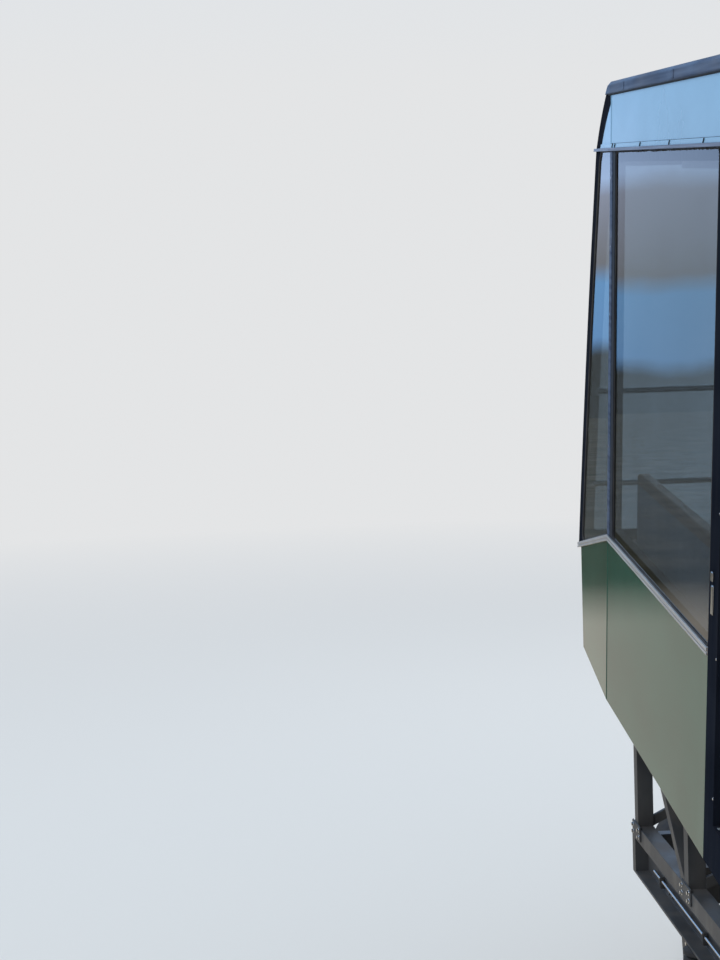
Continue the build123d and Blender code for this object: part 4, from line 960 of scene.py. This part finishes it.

# %% [markdown]
# Between gutter and header the photograph shows four things in a hand's width: the lip, a step with
# dark clips across it, a smear of old sealant under the lip, and a shadow line where the roof's rim
# laps the header. The clips lean, and they sit nearly half a metre apart. The sealant was put on by
# hand, so it is the ragged bead, with bits missing.

# %% Gutter clips, sealant, and the painted shadow lines at the step and the rim
CLIP_STEP = 0.465
CLIP_TILT = (-0.75, 0, 0)
CLIPS = 11
clip_x = level_box("header_right")[1].x + 0.001
clip_z = GUTTER_Z + 0.022
starts = [(side * clip_x, -2.33, clip_z) for side in (1, -1)]
bars("gutter_clips", starts, "wiper_black", CLIPS, (0, CLIP_STEP, 0), (0.004, 0.0045, 0.021), CLIP_TILT)
starts = [(side * clip_x, y, clip_z) for side in (1, -1) for y in (-2.38, 2.37)]
bars("gutter_end_clips", starts, "wiper_black", 1, (0, 0, 0), (0.004, 0.0045, 0.022), CLIP_TILT)

random.seed(7)
lip_x = HALF_WIDTH + 0.001
smears = []
for side in (1, -1):
    y = -CORNER_Y + 0.15
    while y < CORNER_Y - 0.3:
        end = min(y + random.uniform(0.25, 0.9), CORNER_Y - 0.1)
        smears.append([(side * lip_x, place, GLASS_TOP - 0.001) for place in (y, end)])
        y = end + random.uniform(0.03, 0.35)
bead("gutter_sealant", smears, "wiper_black", 0.006, ragged=0.014, step=0.008)
# The second bead, a thin black line at the top of the step, is painted shade where the header laps the step.
for name, z, radius in (("gutter_under_seal", GLASS_TOP, 0.0035), ("step_shadow_line", GUTTER_Z + 0.031, 0.0016)):
    line = [(lip_x, -CORNER_Y, z), (lip_x, CORNER_Y, z)]
    bead(name, mirrored([line]), "wiper_black", radius)

back = SEAT.inverted()
roof_foot = [back @ vertex.co for vertex in nodes["roof_shell"].data.vertices]
roof_foot = [spot for spot in roof_foot if abs(spot.z - HEADER_TOP) < 0.002 and spot.x > 1.0]
rim_end = max(roof_foot, key=lambda spot: spot.y)
rim_x = max(spot.x for spot in roof_foot) - 0.007
nose_x = rim_end.x - 0.007
nose_y = rim_end.y - 0.010
outline = ((nose_x, -nose_y), (rim_x, -CORNER_Y), (rim_x, CORNER_Y), (nose_x, nose_y))
# A black bead round the foot of the rim paints the shadow line where the roof's rim laps the header.
bead("rim_shadow_line", mirrored([[(x, y, HEADER_TOP - 0.001) for x, y in outline]]), "wiper_black", 0.0070)
print(len(smears), "runs of sealant and", 2 * CLIPS + len(starts), "clips")

# %% [markdown]
# The doorway is where hands and feet go, so it has the wear parts: ribbed treads on the sill, a
# lock cover and its small keeper on the post beside the long window, soft rubber on the meeting
# edges of the leaves, and a rubber skirt along the foot of the green panels. The lock cover is the
# bright upright fleck on the photograph's door post.

# %% Doorway trim
LOCK_Y = DOOR_HALF + 0.060
HEM_X = HALF_WIDTH - 0.010
SILL_X = HALF_WIDTH - 0.040
PORTAL_Y = DOOR_HALF + 0.006
locks = []
for proud, foot, top in ((0.007, 0.765, 0.872), (0.010, 0.886, 0.922)):
    low = (HALF_WIDTH - 0.002, LOCK_Y - 0.011, foot)
    locks.append((low, (HALF_WIDTH + proud, LOCK_Y + 0.011, top), 0.003))
plates("lock_covers", "rail_steel", locks)


def meeting_rubbers(body):
    """The soft nosing on a leaf's meeting edge, and its weather strip at the foot."""
    low, high = level_box(body.replace("leaf", "door_leaf"))
    x = (low.x + high.x) / 2
    inner_y, outer_y = sorted((low.y, high.y), key=abs)
    y = inner_y - math.copysign(0.0015, inner_y)
    nosing = [[(x + shift, y, low.z + z) for z in (0.012, 2.26)] for shift in (-0.009, 0.0, 0.009)]
    strip = [(x, end_y, low.z + 0.004) for end_y in (inner_y, outer_y)]
    return bead(f"nosing_{body}", [*nosing, strip], "spring_rubber", 0.0042, body=body)


for body in LEAVES:
    meeting_rubbers(body)
starts = [(side * SILL_X, -0.62, 0.0012) for side in (1, -1)]
bars("sill_treads", starts, "bright_aluminium", 32, (0, 0.04, 0), (0.060, 0.014, 0.0030))
hem = [(HEM_X, y, SKIRT_Z + 0.002) for y in (DOOR_HALF + POST, CORNER_Y)]
bead("skirt_rubber", mirrored([hem], CORNERS), "spring_rubber", 0.009)
spots = facing([(HALF_WIDTH, PORTAL_Y, z) for z in (0.10, 0.62, 1.14, 1.66, 2.18)])
studs("portal_screws", spots, "rail_steel", radius=0.0045, height=0.0012, sides=16, washer=1.05, level=True)
print("the doorways have treads, locks, nosings and", len(spots), "screws")

# %% [markdown]
# A headlamp on such a car is a clear lens in a bright ring, with a rubber seat behind it, a
# polished bowl inside it and a housing on the cabin's side of the wall. The ring is a circle of
# edges that the bead tree turns into metal. Bowls, housings and the roof's vents are turned parts,
# so one helper turns a profile about an axis, as a lathe would.

# %% Lamps, and a helper that turns profiles
RING_SIDES = 40
LAMP_SIZES = {"headlamps": 0.088, "tail_lamps": 0.056}
WALL_INSIDE = 0.066
BOWL = [
    (0, -0.040),
    (0.030, -0.036),
    (0.060, -0.019),
    (0.078, 0),
    (0.082, -0.002),
    (0.062, -0.023),
    (0.030, -0.041),
    (0, -0.045),
]


def circle(radius, count):
    """Points round a circle, flat on X and Y."""
    turns = [math.tau * k / count for k in range(count)]
    return [Vector((radius * math.cos(a), radius * math.sin(a), 0)) for a in turns]


def turned(name, slot, jobs, sides=32):
    """One piece of turned parts: each job is a place, a way out and a profile of (radius, height) pairs."""
    shape = bmesh.new()
    for place, way, profile in jobs:
        aim = way.to_track_quat("Z", "Y")
        rings = []
        for radius, height in profile:
            spots = circle(radius, sides) if radius > 0 else [Vector((0, 0, 0))]
            rings.append([shape.verts.new(place + aim @ (spot + Vector((0, 0, height)))) for spot in spots])
        for lower, upper in zip(rings, rings[1:]):
            for k in range(sides):
                ring = [lower[k % len(lower)], lower[(k + 1) % sides % len(lower)]]
                ring += [upper[(k + 1) % sides % len(upper)], upper[k % len(upper)]]
                shape.faces.new(list(dict.fromkeys(ring)))
        for ring in (rings[0], rings[-1]):
            if len(ring) > 1:
                shape.faces.new(ring)
    return finish_piece(name, plain_mesh(shape, name), slot)


def lamp_places(node):
    """The middle of each of a node's four lens faces, with its way out."""
    low, high = level_box(node)
    spot = (high.x - LAMP_SIZES[node], high.y, (low.z + high.z) / 2)
    return facing([spot], axis=1)


def lamp_rings(node, radius, bead_radius, inset, slot):
    """Rings round the four lamps of a node."""
    rings = []
    for place, way in lamp_places(node):
        ring = [Vector((spot.x, 0, spot.y)) for spot in circle(radius, RING_SIDES)]
        rings.append([place - way * inset + spot for spot in ring])
    bead(f"{node}_{slot}_rings", lines_mesh(rings, closed=True), slot, bead_radius, sides=10)


bowls = [(place - way * 0.018, way, BOWL) for place, way in lamp_places("headlamps")]
housings = []
for node, size in LAMP_SIZES.items():
    lamp_rings(node, size, 0.006, 0.016, "rail_steel")
    lamp_rings(node, size + 0.004, 0.005, 0.023, "spring_rubber")
    cup = [(size + 0.014, -WALL_INSIDE), (size + 0.014, -0.086), (size + 0.006, -0.096), (0, -0.100)]
    housings += [(place, way, cup) for place, way in lamp_places(node)]
turned("headlamp_bowls", "rail_steel", bowls)
turned("lamp_housings", "wiper_black", housings)
print(len(housings), "lamps have their rings, rubber seats and housings")

# %% [markdown]
# The roof is one big sheet only in a drawing. On the real car it is laid in bays with a welted seam
# between them, and the warm air leaves through low vents on the middle line. The seams follow the
# crown of the roof, so their points come from the same arc: the height at the middle, the height at
# the rim, and the circle through them.

# %% Roof seams and vents
ROOF_CROWN = 2.719
ROOF_RIM = 2.659
RIM_X = 1.109
SEAM_YS = (-2.16, -1.35, -0.54, 0.27, 1.08, 1.89)
SEAM_POINTS = 25
VENT = [
    (0.085, -0.004),
    (0.085, 0.026),
    (0.128, 0.030),
    (0.130, 0.042),
    (0.105, 0.058),
    (0.060, 0.066),
    (0, 0.069),
]
arc_radius = (RIM_X**2 + (ROOF_CROWN - ROOF_RIM) ** 2) / (2 * (ROOF_CROWN - ROOF_RIM))


def roof_height(x):
    """The height of the roof's outer face above the floor."""
    return ROOF_CROWN - arc_radius + math.sqrt(arc_radius**2 - x**2)


seam_xs = [-0.95 + 1.90 * k / (SEAM_POINTS - 1) for k in range(SEAM_POINTS)]
seams = [[(x, y, roof_height(x) + 0.001) for x in seam_xs] for y in SEAM_YS]
bead("roof_seams", seams, "roof_paint", 0.0055, sides=6)
caps = []
for y in SEAM_YS:
    low = (RIM_X - 0.004, y - 0.012, HEADER_TOP + 0.004)
    caps.append((low, (RIM_X + 0.0015, y + 0.012, ROOF_RIM - 0.013), 0.001))
plates("rim_seam_caps", "roof_paint", caps, SIDES)
vents = [(Vector((0, y, roof_height(0.0))), Vector((0, 0, 1)), VENT) for y in (-0.8, 0.8)]
turned("roof_vents", "roof_paint", vents)
print(len(seams), "roof seams and", len(vents), "vents; the arc's radius is", round(arc_radius, 2), "m")

# %% [markdown]
# Below the cabin the car is bolted ironwork. Each joint has the bolts that such a joint needs:
# cross members to sole bars, buffers and tow plate to the headstock, covers to axleboxes, horns to
# the frame. The places come from short tables of the same sizes that the CAD uses. A line of a
# table is one kind of joint, with four bolts round its middle: first the place of the middle, and
# then how far the bolts are from it, along the car or across it, and upwards.

# %% Bolts of the running gear
AXLES = (-2.0, 2.0)
AXLE_Z = 0.328
WEB_X = 0.772
BOX_X = 0.875
STOCK_Y = 3.1
BRAKES = (-0.50, 0.50)
BRAKE_X = 0.702
CAP_RADIUS = 0.062
SIDE_JOINTS = [
    (WEB_X, (-2.56, -1.44, -0.50, 0.50, 1.44, 2.56), 0.65, 0.028, 0.052),
    (0.812, AXLES, 0.500, 0.125, 0.020),
    (BOX_X, AXLES, AXLE_Z, 0.080, 0.088),
    (BRAKE_X, BRAKES, 0.285, 0.090, 0.028),
    (BRAKE_X, BRAKES, 0.100, 0.055, 0.030),
]
END_JOINTS = [
    (0.56, STOCK_Y + 0.020, 0.65, 0.054, 0.054),
    (0.775, STOCK_Y, 0.65, 0.022, 0.062),
    (0.6325, 2.63, 0.64, 0.032, 0.050),
]


def square(x, y, z, half_a, half_b, axis=0):
    """Four points of a rectangle round a centre, square to an axis (0 for X, 1 for Y)."""
    steps = [(a, b) for a in (-half_a, half_a) for b in (-half_b, half_b)]
    return [(x + a, y, z + b) if axis else (x, y + a, z + b) for a, b in steps]


on_sides = [spot for x, ys, z, a, b in SIDE_JOINTS for y in ys for spot in square(x, y, z, a, b)]
on_ends = [spot for x, y, z, a, b in END_JOINTS for spot in square(x, y, z, a, b, axis=1)]
on_tow_plate = square(0, STOCK_Y + 0.016, 0.65, 0.088, 0.052, axis=1)
bolts = facing(on_sides, SIDES) + facing(on_ends, axis=1) + facing(on_tow_plate, [(1, -1)], axis=1)
studs("chassis_bolts", bolts, "rail_steel", radius=0.011, height=0.009)
caps = []
for y in AXLES:
    for k in range(6):
        turn = math.tau * (k + 0.5) / 6
        caps.append((BOX_X + 0.008, y + CAP_RADIUS * math.cos(turn), AXLE_Z + CAP_RADIUS * math.sin(turn)))
studs("axlebox_cap_bolts", facing(caps, SIDES), "rail_steel", radius=0.007, height=0.006)
print(len(bolts), "frame bolts and", 2 * len(caps), "cap bolts")

# %% [markdown]
# The trusses are welded from box sections, and their nodes carry gusset plates with four bolts. The
# upper nodes step up towards the downhill end with the wedge, so their height is worked out from
# the cabin's tilt, as in the CAD. The last plates at that end sit 45 mm inwards of their post, so
# that they stay on the truss.

# %% Gussets on the trusses
GUSSET_YS = (-2.985, -2.02, -1.01, 0.0, 1.01)
CHASSIS_TOP = 0.75
GUSSET_X = 0.8465
wedge_rise = math.tan(-CABIN_TILT)
wedge_top = 1.42 - 0.16 / math.cos(CABIN_TILT)
gussets = []
spots = []
for y in GUSSET_YS:
    for z in (CHASSIS_TOP + 0.045, wedge_top - y * wedge_rise - 0.052):
        gussets.append(((0.838, y - 0.085, z - 0.040), (GUSSET_X, y + 0.085, z + 0.040), 0.004))
        spots += square(GUSSET_X, y, z, 0.058, 0.018)
plates("truss_gussets", "chassis_paint", gussets, SIDES, level=False)
studs("gusset_bolts", facing(spots, SIDES), "rail_steel", radius=0.009, height=0.008)
print(2 * len(gussets), "gussets with", 2 * len(spots), "bolts")

# %% [markdown]
# The rail brakes are worked by oil from the power pack. Steel pipes run from it in the hollow of
# each sole bar and drop to the calipers, held by clips. A pipe fitter bends them with one former,
# so all the corners have the same radius, and the bead tree rounds them with one number.

# %% Brake pipes
PIPE = 0.008
PIPE_X = WEB_X + 0.014
CALIPER_BENDS = ((0.38, 0.60), (0.38, 0.42), (0.52, 0.30), (0.5575, 0.30))
pipes = [[(PIPE_X, -0.50, 0.600), (PIPE_X, 0.50, 0.600)], [(PIPE_X, -2.85, 0.622), (PIPE_X, 2.85, 0.622)]]
pipes += [[(x, y - 0.02, z) for x, z in CALIPER_BENDS] for y in BRAKES]
pipes.append([(0.36, -1.0, 0.765), (0.36, -0.44, 0.765), (0.36, -0.44, 0.66)])
pipes = mirrored(pipes)
bead("brake_pipes", pipes, "rail_steel", PIPE, corner=0.05, level=False)
clip_ys = [-2.7 + 0.77 * k for k in range(8)]
clips = [((WEB_X - 0.002, y - 0.012, 0.584), (WEB_X + 0.026, y + 0.012, 0.638), 0.004) for y in clip_ys]
plates("pipe_clips", "spring_rubber", clips, SIDES, level=False)
reach = sum((b - a).length for path in pipes for a, b in zip(path, path[1:]))
print(len(pipes), "pipes, which measure", round(reach, 1), "m")

# %% [markdown]
# The power pack is a steel cabinet: a lid with an overhang, a door on each side with two latches,
# and louvres where the cooler blows. It shows only between the truss bars, but a plain block there
# looks unfinished from the side.

# %% The power pack's cabinet
pack_low, pack_high = [Vector(corner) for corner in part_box("power_pack")]
top = pack_high.z
out_by = Vector((0.012, 0.012, 0))
lid = (
    Vector((pack_low.x, pack_low.y, top - 0.004)) - out_by,
    pack_high + out_by + Vector((0, 0, 0.016)),
    0.006,
)
doors = []
latches = []
for x, way in ((pack_high.x, 1), (pack_low.x, -1)):
    low = (x - way * 0.002, pack_low.y + 0.10, pack_low.z + 0.05)
    doors.append((low, (x + way * 0.004, pack_high.y - 0.10, top - 0.045), 0.003))
    for y in (pack_low.y + 0.22, pack_high.y - 0.22):
        latches.append(((x, y - 0.015, top - 0.040), (x + way * 0.022, y + 0.015, top + 0.010), 0.004))
plates("pack_lid_and_doors", "pack_paint", [lid, *doors], ONCE, level=False)
starts = [(x, pack_low.y + 0.50, pack_low.z + 0.075) for x in (pack_high.x + 0.006, pack_low.x - 0.006)]
bars("pack_louvres", starts, "pack_paint", 9, (0, 0, 0.019), (0.012, 0.56, 0.004), level=False)
plates("pack_latches", "rail_steel", latches, ONCE, level=False)
print("the cabinet is", [round(v, 3) for v in pack_high - pack_low], "m")

# %% [markdown]
# The inside is seen through a lot of glass, in the shade, so it needs large quiet detail more than
# small fittings: joints in the ceiling, end caps on the light strips, brackets under the timber, a
# toe plate on the benches. All of it is drawn level and shares the trees that the outside uses.

# %% Ceiling, lights and bench fittings
BENCH_X = 0.998
TOE_X = 0.598
BENCH_YS = (0.80, 2.26)
ceiling_z = level_box("ceiling")[0].z
bars(
    "ceiling_joints", [(0, -2.2, ceiling_z - 0.0005)], "desk_plastic", 5, (0, 1.1, 0), (2.08, 0.005, 0.0025)
)
light_low, light_high = level_box("ceiling_lights")
cap_top = light_high.z - 0.0005
caps = [((0.352, light_high.y - 0.004, light_low.z - 0.001), (0.488, light_high.y + 0.010, cap_top), 0.004)]
for y in (0.0, 1.1):
    caps.append(((0.352, y - 0.008, light_low.z - 0.002), (0.488, y + 0.008, cap_top), 0.003))
plates("light_end_caps", "bright_aluminium", caps)

toe = ((TOE_X - 0.003, BENCH_YS[0] + 0.02, 0.02), (TOE_X + 0.002, BENCH_YS[1] - 0.02, 0.10), 0.002)
plates("bench_toe_plates", "rail_steel", [toe])
bracket_ys = [BENCH_YS[0] + 0.14 + k * 0.393 for k in range(4)]
brackets = [
    ((BENCH_X - 0.034, y - 0.015, 0.872), (BENCH_X - 0.017, y + 0.015, 0.902), 0.003) for y in bracket_ys
]
plates("timber_brackets", "rail_steel", brackets)
starts = [(x_side * (TOE_X - 0.0015), y_side * 1.53 - 0.25, 0.17) for x_side, y_side in CORNERS]
bars("bench_heater_slots", starts, "desk_plastic", 26, (0, 0.02, 0), (0.004, 0.007, 0.090))
print("ceiling joints, light caps, toe plates, brackets and heater slots are in")

# %% [markdown]
# The desk is what the driver touches: a sloping panel with two round gauges, a row of buttons, a
# brake lever and an emergency mushroom. Blank caps stand in for anything that would carry words.
# Both desks are the same, turned round.

# %% Desk controls
DESK_X = 0.48
DESK_NEAR = 2.551
DESK_FAR = 2.861
DESK_LOW = 0.88
DESK_HIGH = 1.0
slope = math.atan2(DESK_HIGH - DESK_LOW, DESK_FAR - DESK_NEAR)


def on_desks(across_and_up):
    """Points of both desks' sloping tops, with the way up: across from the middle, and up from the lip."""
    spots = []
    for end in (-1, 1):
        way = Vector((0, -end * math.sin(slope), math.cos(slope)))
        for across, up in across_and_up:
            y = end * (DESK_NEAR + up * math.cos(slope))
            spots.append((Vector((end * (DESK_X + across), y, DESK_LOW + up * math.sin(slope))), way))
    return spots


panels = bmesh.new()
for place, way in on_desks([(0, 0.160)]):
    turn = Matrix.Rotation(math.copysign(slope, place.y), 4, "X")
    add_block(panels, (0.62, 0.235, 0.008), Matrix.Translation(place) @ turn, 0.003)
finish_piece("desk_panels", plain_mesh(panels, "desk_panels"), "bench_sheet")
dials = on_desks([(-0.20, 0.215), (-0.07, 0.215)])
buttons = on_desks([(-0.24 + 0.06 * k, 0.100) for k in range(6)])
stops = on_desks([(0.22, 0.200)])
studs("desk_dials", dials, "desk_plastic", radius=0.042, height=0.014, sides=32, washer=1.12, level=True)
studs("desk_buttons", buttons, "rail_steel", radius=0.011, height=0.012, sides=20, washer=1.3, level=True)
studs("desk_stops", stops, "tail_lamp_red", radius=0.022, height=0.030, sides=24, washer=1.25, level=True)
levers = []
knobs = []
for foot, way in on_desks([(0.12, 0.150)]):
    end = math.copysign(1.0, foot.y)
    top = foot + Vector((0, -end * 0.045, 0.125))
    levers.append([foot, foot + Vector((0, end * 0.02, 0.075)), top])
    knobs.append((top - Vector((0, 0, 0.004)), way))
bead("desk_levers", levers, "rail_steel", 0.008, corner=0.03)
studs("lever_knobs", knobs, "wiper_black", radius=0.017, height=0.030, sides=16, washer=0.8, level=True)
print(
    "the desks slope by",
    round(math.degrees(slope), 1),
    "degrees and carry",
    len(buttons) + len(stops),
    "buttons",
)

# %% [markdown]
# A cushion is foam in a sewn cover. Its look comes from the sewing: it is tight at the seams, and
# the foam swells between them. That could be sculpted by hand, but it is quicker to sew it for
# real: a coarse skin is laid round the pad's block, pinned along its seams, cut 6 percent roomier
# than the block, and blown up as cloth. The movement is capped, so that a pad keeps its size on the
# bench. One seat pad and one back pad are blown; the others are copies.

# %% Blow up the pads
VOXEL = 0.011
SWELL = 0.014
STEPS = 20
CLOTH = {
    "vertex_group_mass": "seams",
    "use_pressure": True,
    "uniform_pressure_force": 10.0,
    "tension_stiffness": 8.0,
    "compression_stiffness": 8.0,
    "bending_stiffness": 0.3,
    "shrink_min": -0.06,
    "quality": 5,
}


def pad_block(low, high):
    """A pad's plain block, cut into squares, with its edges softened."""
    shape = bmesh.new()
    middle = [(a + b) / 2 for a, b in zip(low, high)]
    size = Matrix.Diagonal((*[b - a for a, b in zip(low, high)], 1))
    bmesh.ops.create_cube(shape, size=1.0, matrix=Matrix.Translation(middle) @ size)
    pad = in_scene("pad_block", as_mesh(shape, "pad_block"))
    soften = pad.modifiers.new("soften", "BEVEL")
    soften.width = 0.016
    soften.segments = 2
    squares = pad.modifiers.new("squares", "REMESH")
    squares.mode = "VOXEL"
    squares.voxel_size = VOXEL
    return kept_mesh(pad)


def near_seam(spot, low, high, crown, way, across, seams):
    """True where the cover is sewn: round the crown's border, on the back face, and along the seams."""
    edge = min(min(spot[k] - low[k], high[k] - spot[k]) for k in range(3) if k != crown)
    depth = abs(spot[crown] - (high if way > 0 else low)[crown])
    at_border = edge < 0.010 and depth < 0.012
    at_back = depth > high[crown] - low[crown] - 0.012
    at_line = depth < 0.010 and any(abs(spot[across] - place) < 0.008 for place in seams)
    return at_border or at_back or at_line


def blow(low, high, *sewing):
    """One pad: remeshed, pinned at its seams, and blown up as cloth; low and high are its block's corners."""
    mesh = pad_block(low, high)
    pad = in_scene("pad", mesh)
    held = [v.index for v in mesh.vertices if near_seam(v.co, low, high, *sewing)]
    pad.vertex_groups.new(name="seams").add(held, 1.0, "REPLACE")
    start = [vertex.co.copy() for vertex in mesh.vertices]
    cloth = pad.modifiers.new("cover", "CLOTH")
    for key, value in CLOTH.items():
        setattr(cloth.settings, key, value)
    cloth.settings.effector_weights.gravity = 0.0
    cloth.point_cache.frame_start = 1
    cloth.point_cache.frame_end = STEPS
    for step in range(1, STEPS + 1):
        bpy.context.scene.frame_set(step)
        bpy.context.view_layer.update()
    blown = kept_mesh(pad)
    bpy.context.scene.frame_set(1)
    farthest = 0.0
    for vertex, place in zip(blown.vertices, start):
        shift = vertex.co - place
        farthest = max(farthest, shift.length)
        if shift.length > SWELL:
            vertex.co = place + shift * (SWELL / shift.length)
    print(f"a pad has {len(start)} points, {len(held)} of them sewn; the farthest moved {farthest:.4f} m")
    return blown


def sew(low, high, *sewing):
    return blow(low, high, *sewing)


print("the cloth gets", STEPS, "steps, and a point may move by", SWELL, "m")

# %% [markdown]
# The seat pad is sewn down along two lines and the back pad along three, which stops the foam from
# wandering. A piping of round cord closes the border, and a thin cord fills each line. Both come
# from the bead tree, laid where the cover is pinned and has not moved. A pad is described by its
# block's two corners, the axis and the side of its crown, the axis across its seams, and the places
# of the seams.

# %% Sew the pads on the benches
PADS_PER_BENCH = 3
PAD_GAP = 0.006
SEAT_DEPTH = 0.352
BACK_DEPTH = 0.0694
PIPING = 0.0045
SEAM_CORD = 0.0022
pad_length = (BENCH_YS[1] - BENCH_YS[0]) / PADS_PER_BENCH
near_y = BENCH_YS[0] + PAD_GAP / 2
far_y = BENCH_YS[0] + pad_length - PAD_GAP / 2
cushion_low, cushion_high = level_box("seat_cushions")
back_high = level_box("back_cushions")[1]
seat_low = Vector((cushion_high.x - SEAT_DEPTH, near_y, cushion_low.z + 0.001))
seat_high = Vector((cushion_high.x, far_y, cushion_high.z - 0.006))
rest_low = Vector((back_high.x - BACK_DEPTH + 0.006, near_y, cushion_high.z + 0.004))
rest_high = Vector((back_high.x - 0.001, far_y, back_high.z - 0.003))
PADS = {
    "seat": (seat_low, seat_high, 2, 1, 0, [seat_low.x + inwards for inwards in (0.115, 0.235)]),
    "back": (rest_low, rest_high, 0, -1, 2, [rest_low.z + up for up in (0.10, 0.20, 0.30)]),
}


def spot_at(values):
    """A point from the values of its axes, by their numbers."""
    return Vector([values[k] for k in range(3)])


def border(low, high, axis, at, inset=0.004):
    """A closed rectangle of points just inside a block's border, square to an axis."""
    a, b = [k for k in range(3) if k != axis]
    reach = [(low[k] + inset, high[k] - inset) for k in (a, b)]
    turns = ((0, 0), (1, 0), (1, 1), (0, 1))
    return [spot_at({axis: at, a: reach[0][i], b: reach[1][j]}) for i, j in turns]


def seam_lines(low, high, axis, at, across, seams, inset=0.012):
    """One straight line for each seam, a little short of the border."""
    along = 3 - axis - across
    ends = (low[along] + inset, high[along] - inset)
    return [[spot_at({axis: at, across: place, along: end}) for end in ends] for place in seams]


def piping(low, high, crown, way, across, seams):
    """The cords of one pad, as one mesh."""
    face = (high if way > 0 else low)[crown]
    loop = lines_mesh([border(low, high, crown, face - way * 0.002)], closed=True)
    lines = lines_mesh(seam_lines(low, high, crown, face + way * 0.0005, across, seams))
    shape = bmesh.new()
    for seed, radius in ((loop, PIPING), (lines, SEAM_CORD)):
        shape.from_mesh(bead_mesh(seed, "wiper_black", radius, corner=0.014))
    return plain_mesh(shape, "piping")


def spread(mesh, name, x_side, y_side):
    """Copies of a pad's mesh for one bench, mirrored to its side and end of the cabin."""
    shape = bmesh.new()
    for k in range(PADS_PER_BENCH):
        copy = mesh.copy()
        copy.transform(Matrix.Translation((0, k * pad_length, 0)))
        shape.from_mesh(copy)
        bpy.data.meshes.remove(copy)
    bmesh.ops.scale(shape, vec=(x_side, y_side, 1), verts=shape.verts)
    bmesh.ops.remove_doubles(shape, verts=shape.verts, dist=0.00001)
    return plain_mesh(shape, name)


covers = {kind: sew(*pad) for kind, pad in PADS.items()}
cords = {kind: piping(*pad) for kind, pad in PADS.items()}
for x_side, y_side in CORNERS:
    tag = ("right" if x_side > 0 else "left") + ("_uphill" if y_side > 0 else "_downhill")
    for kind in PADS:
        name = f"{kind}_pads_{tag}"
        padded = finish_piece(name, spread(covers[kind], name, x_side, y_side), "seat_fabric")
        padded.data.shade_smooth()
        smooth = padded.modifiers.new("smooth", "SUBSURF")
        smooth.levels = 1
        smooth.render_levels = 1
        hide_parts(f"{kind}_cushions")
        name = f"{kind}_piping_{tag}"
        finish_piece(name, spread(cords[kind], name, x_side, y_side), "wiper_black")
print("sewn on:", len(PADS) * len(CORNERS) * PADS_PER_BENCH, "pads, each", round(pad_length, 3), "m long")
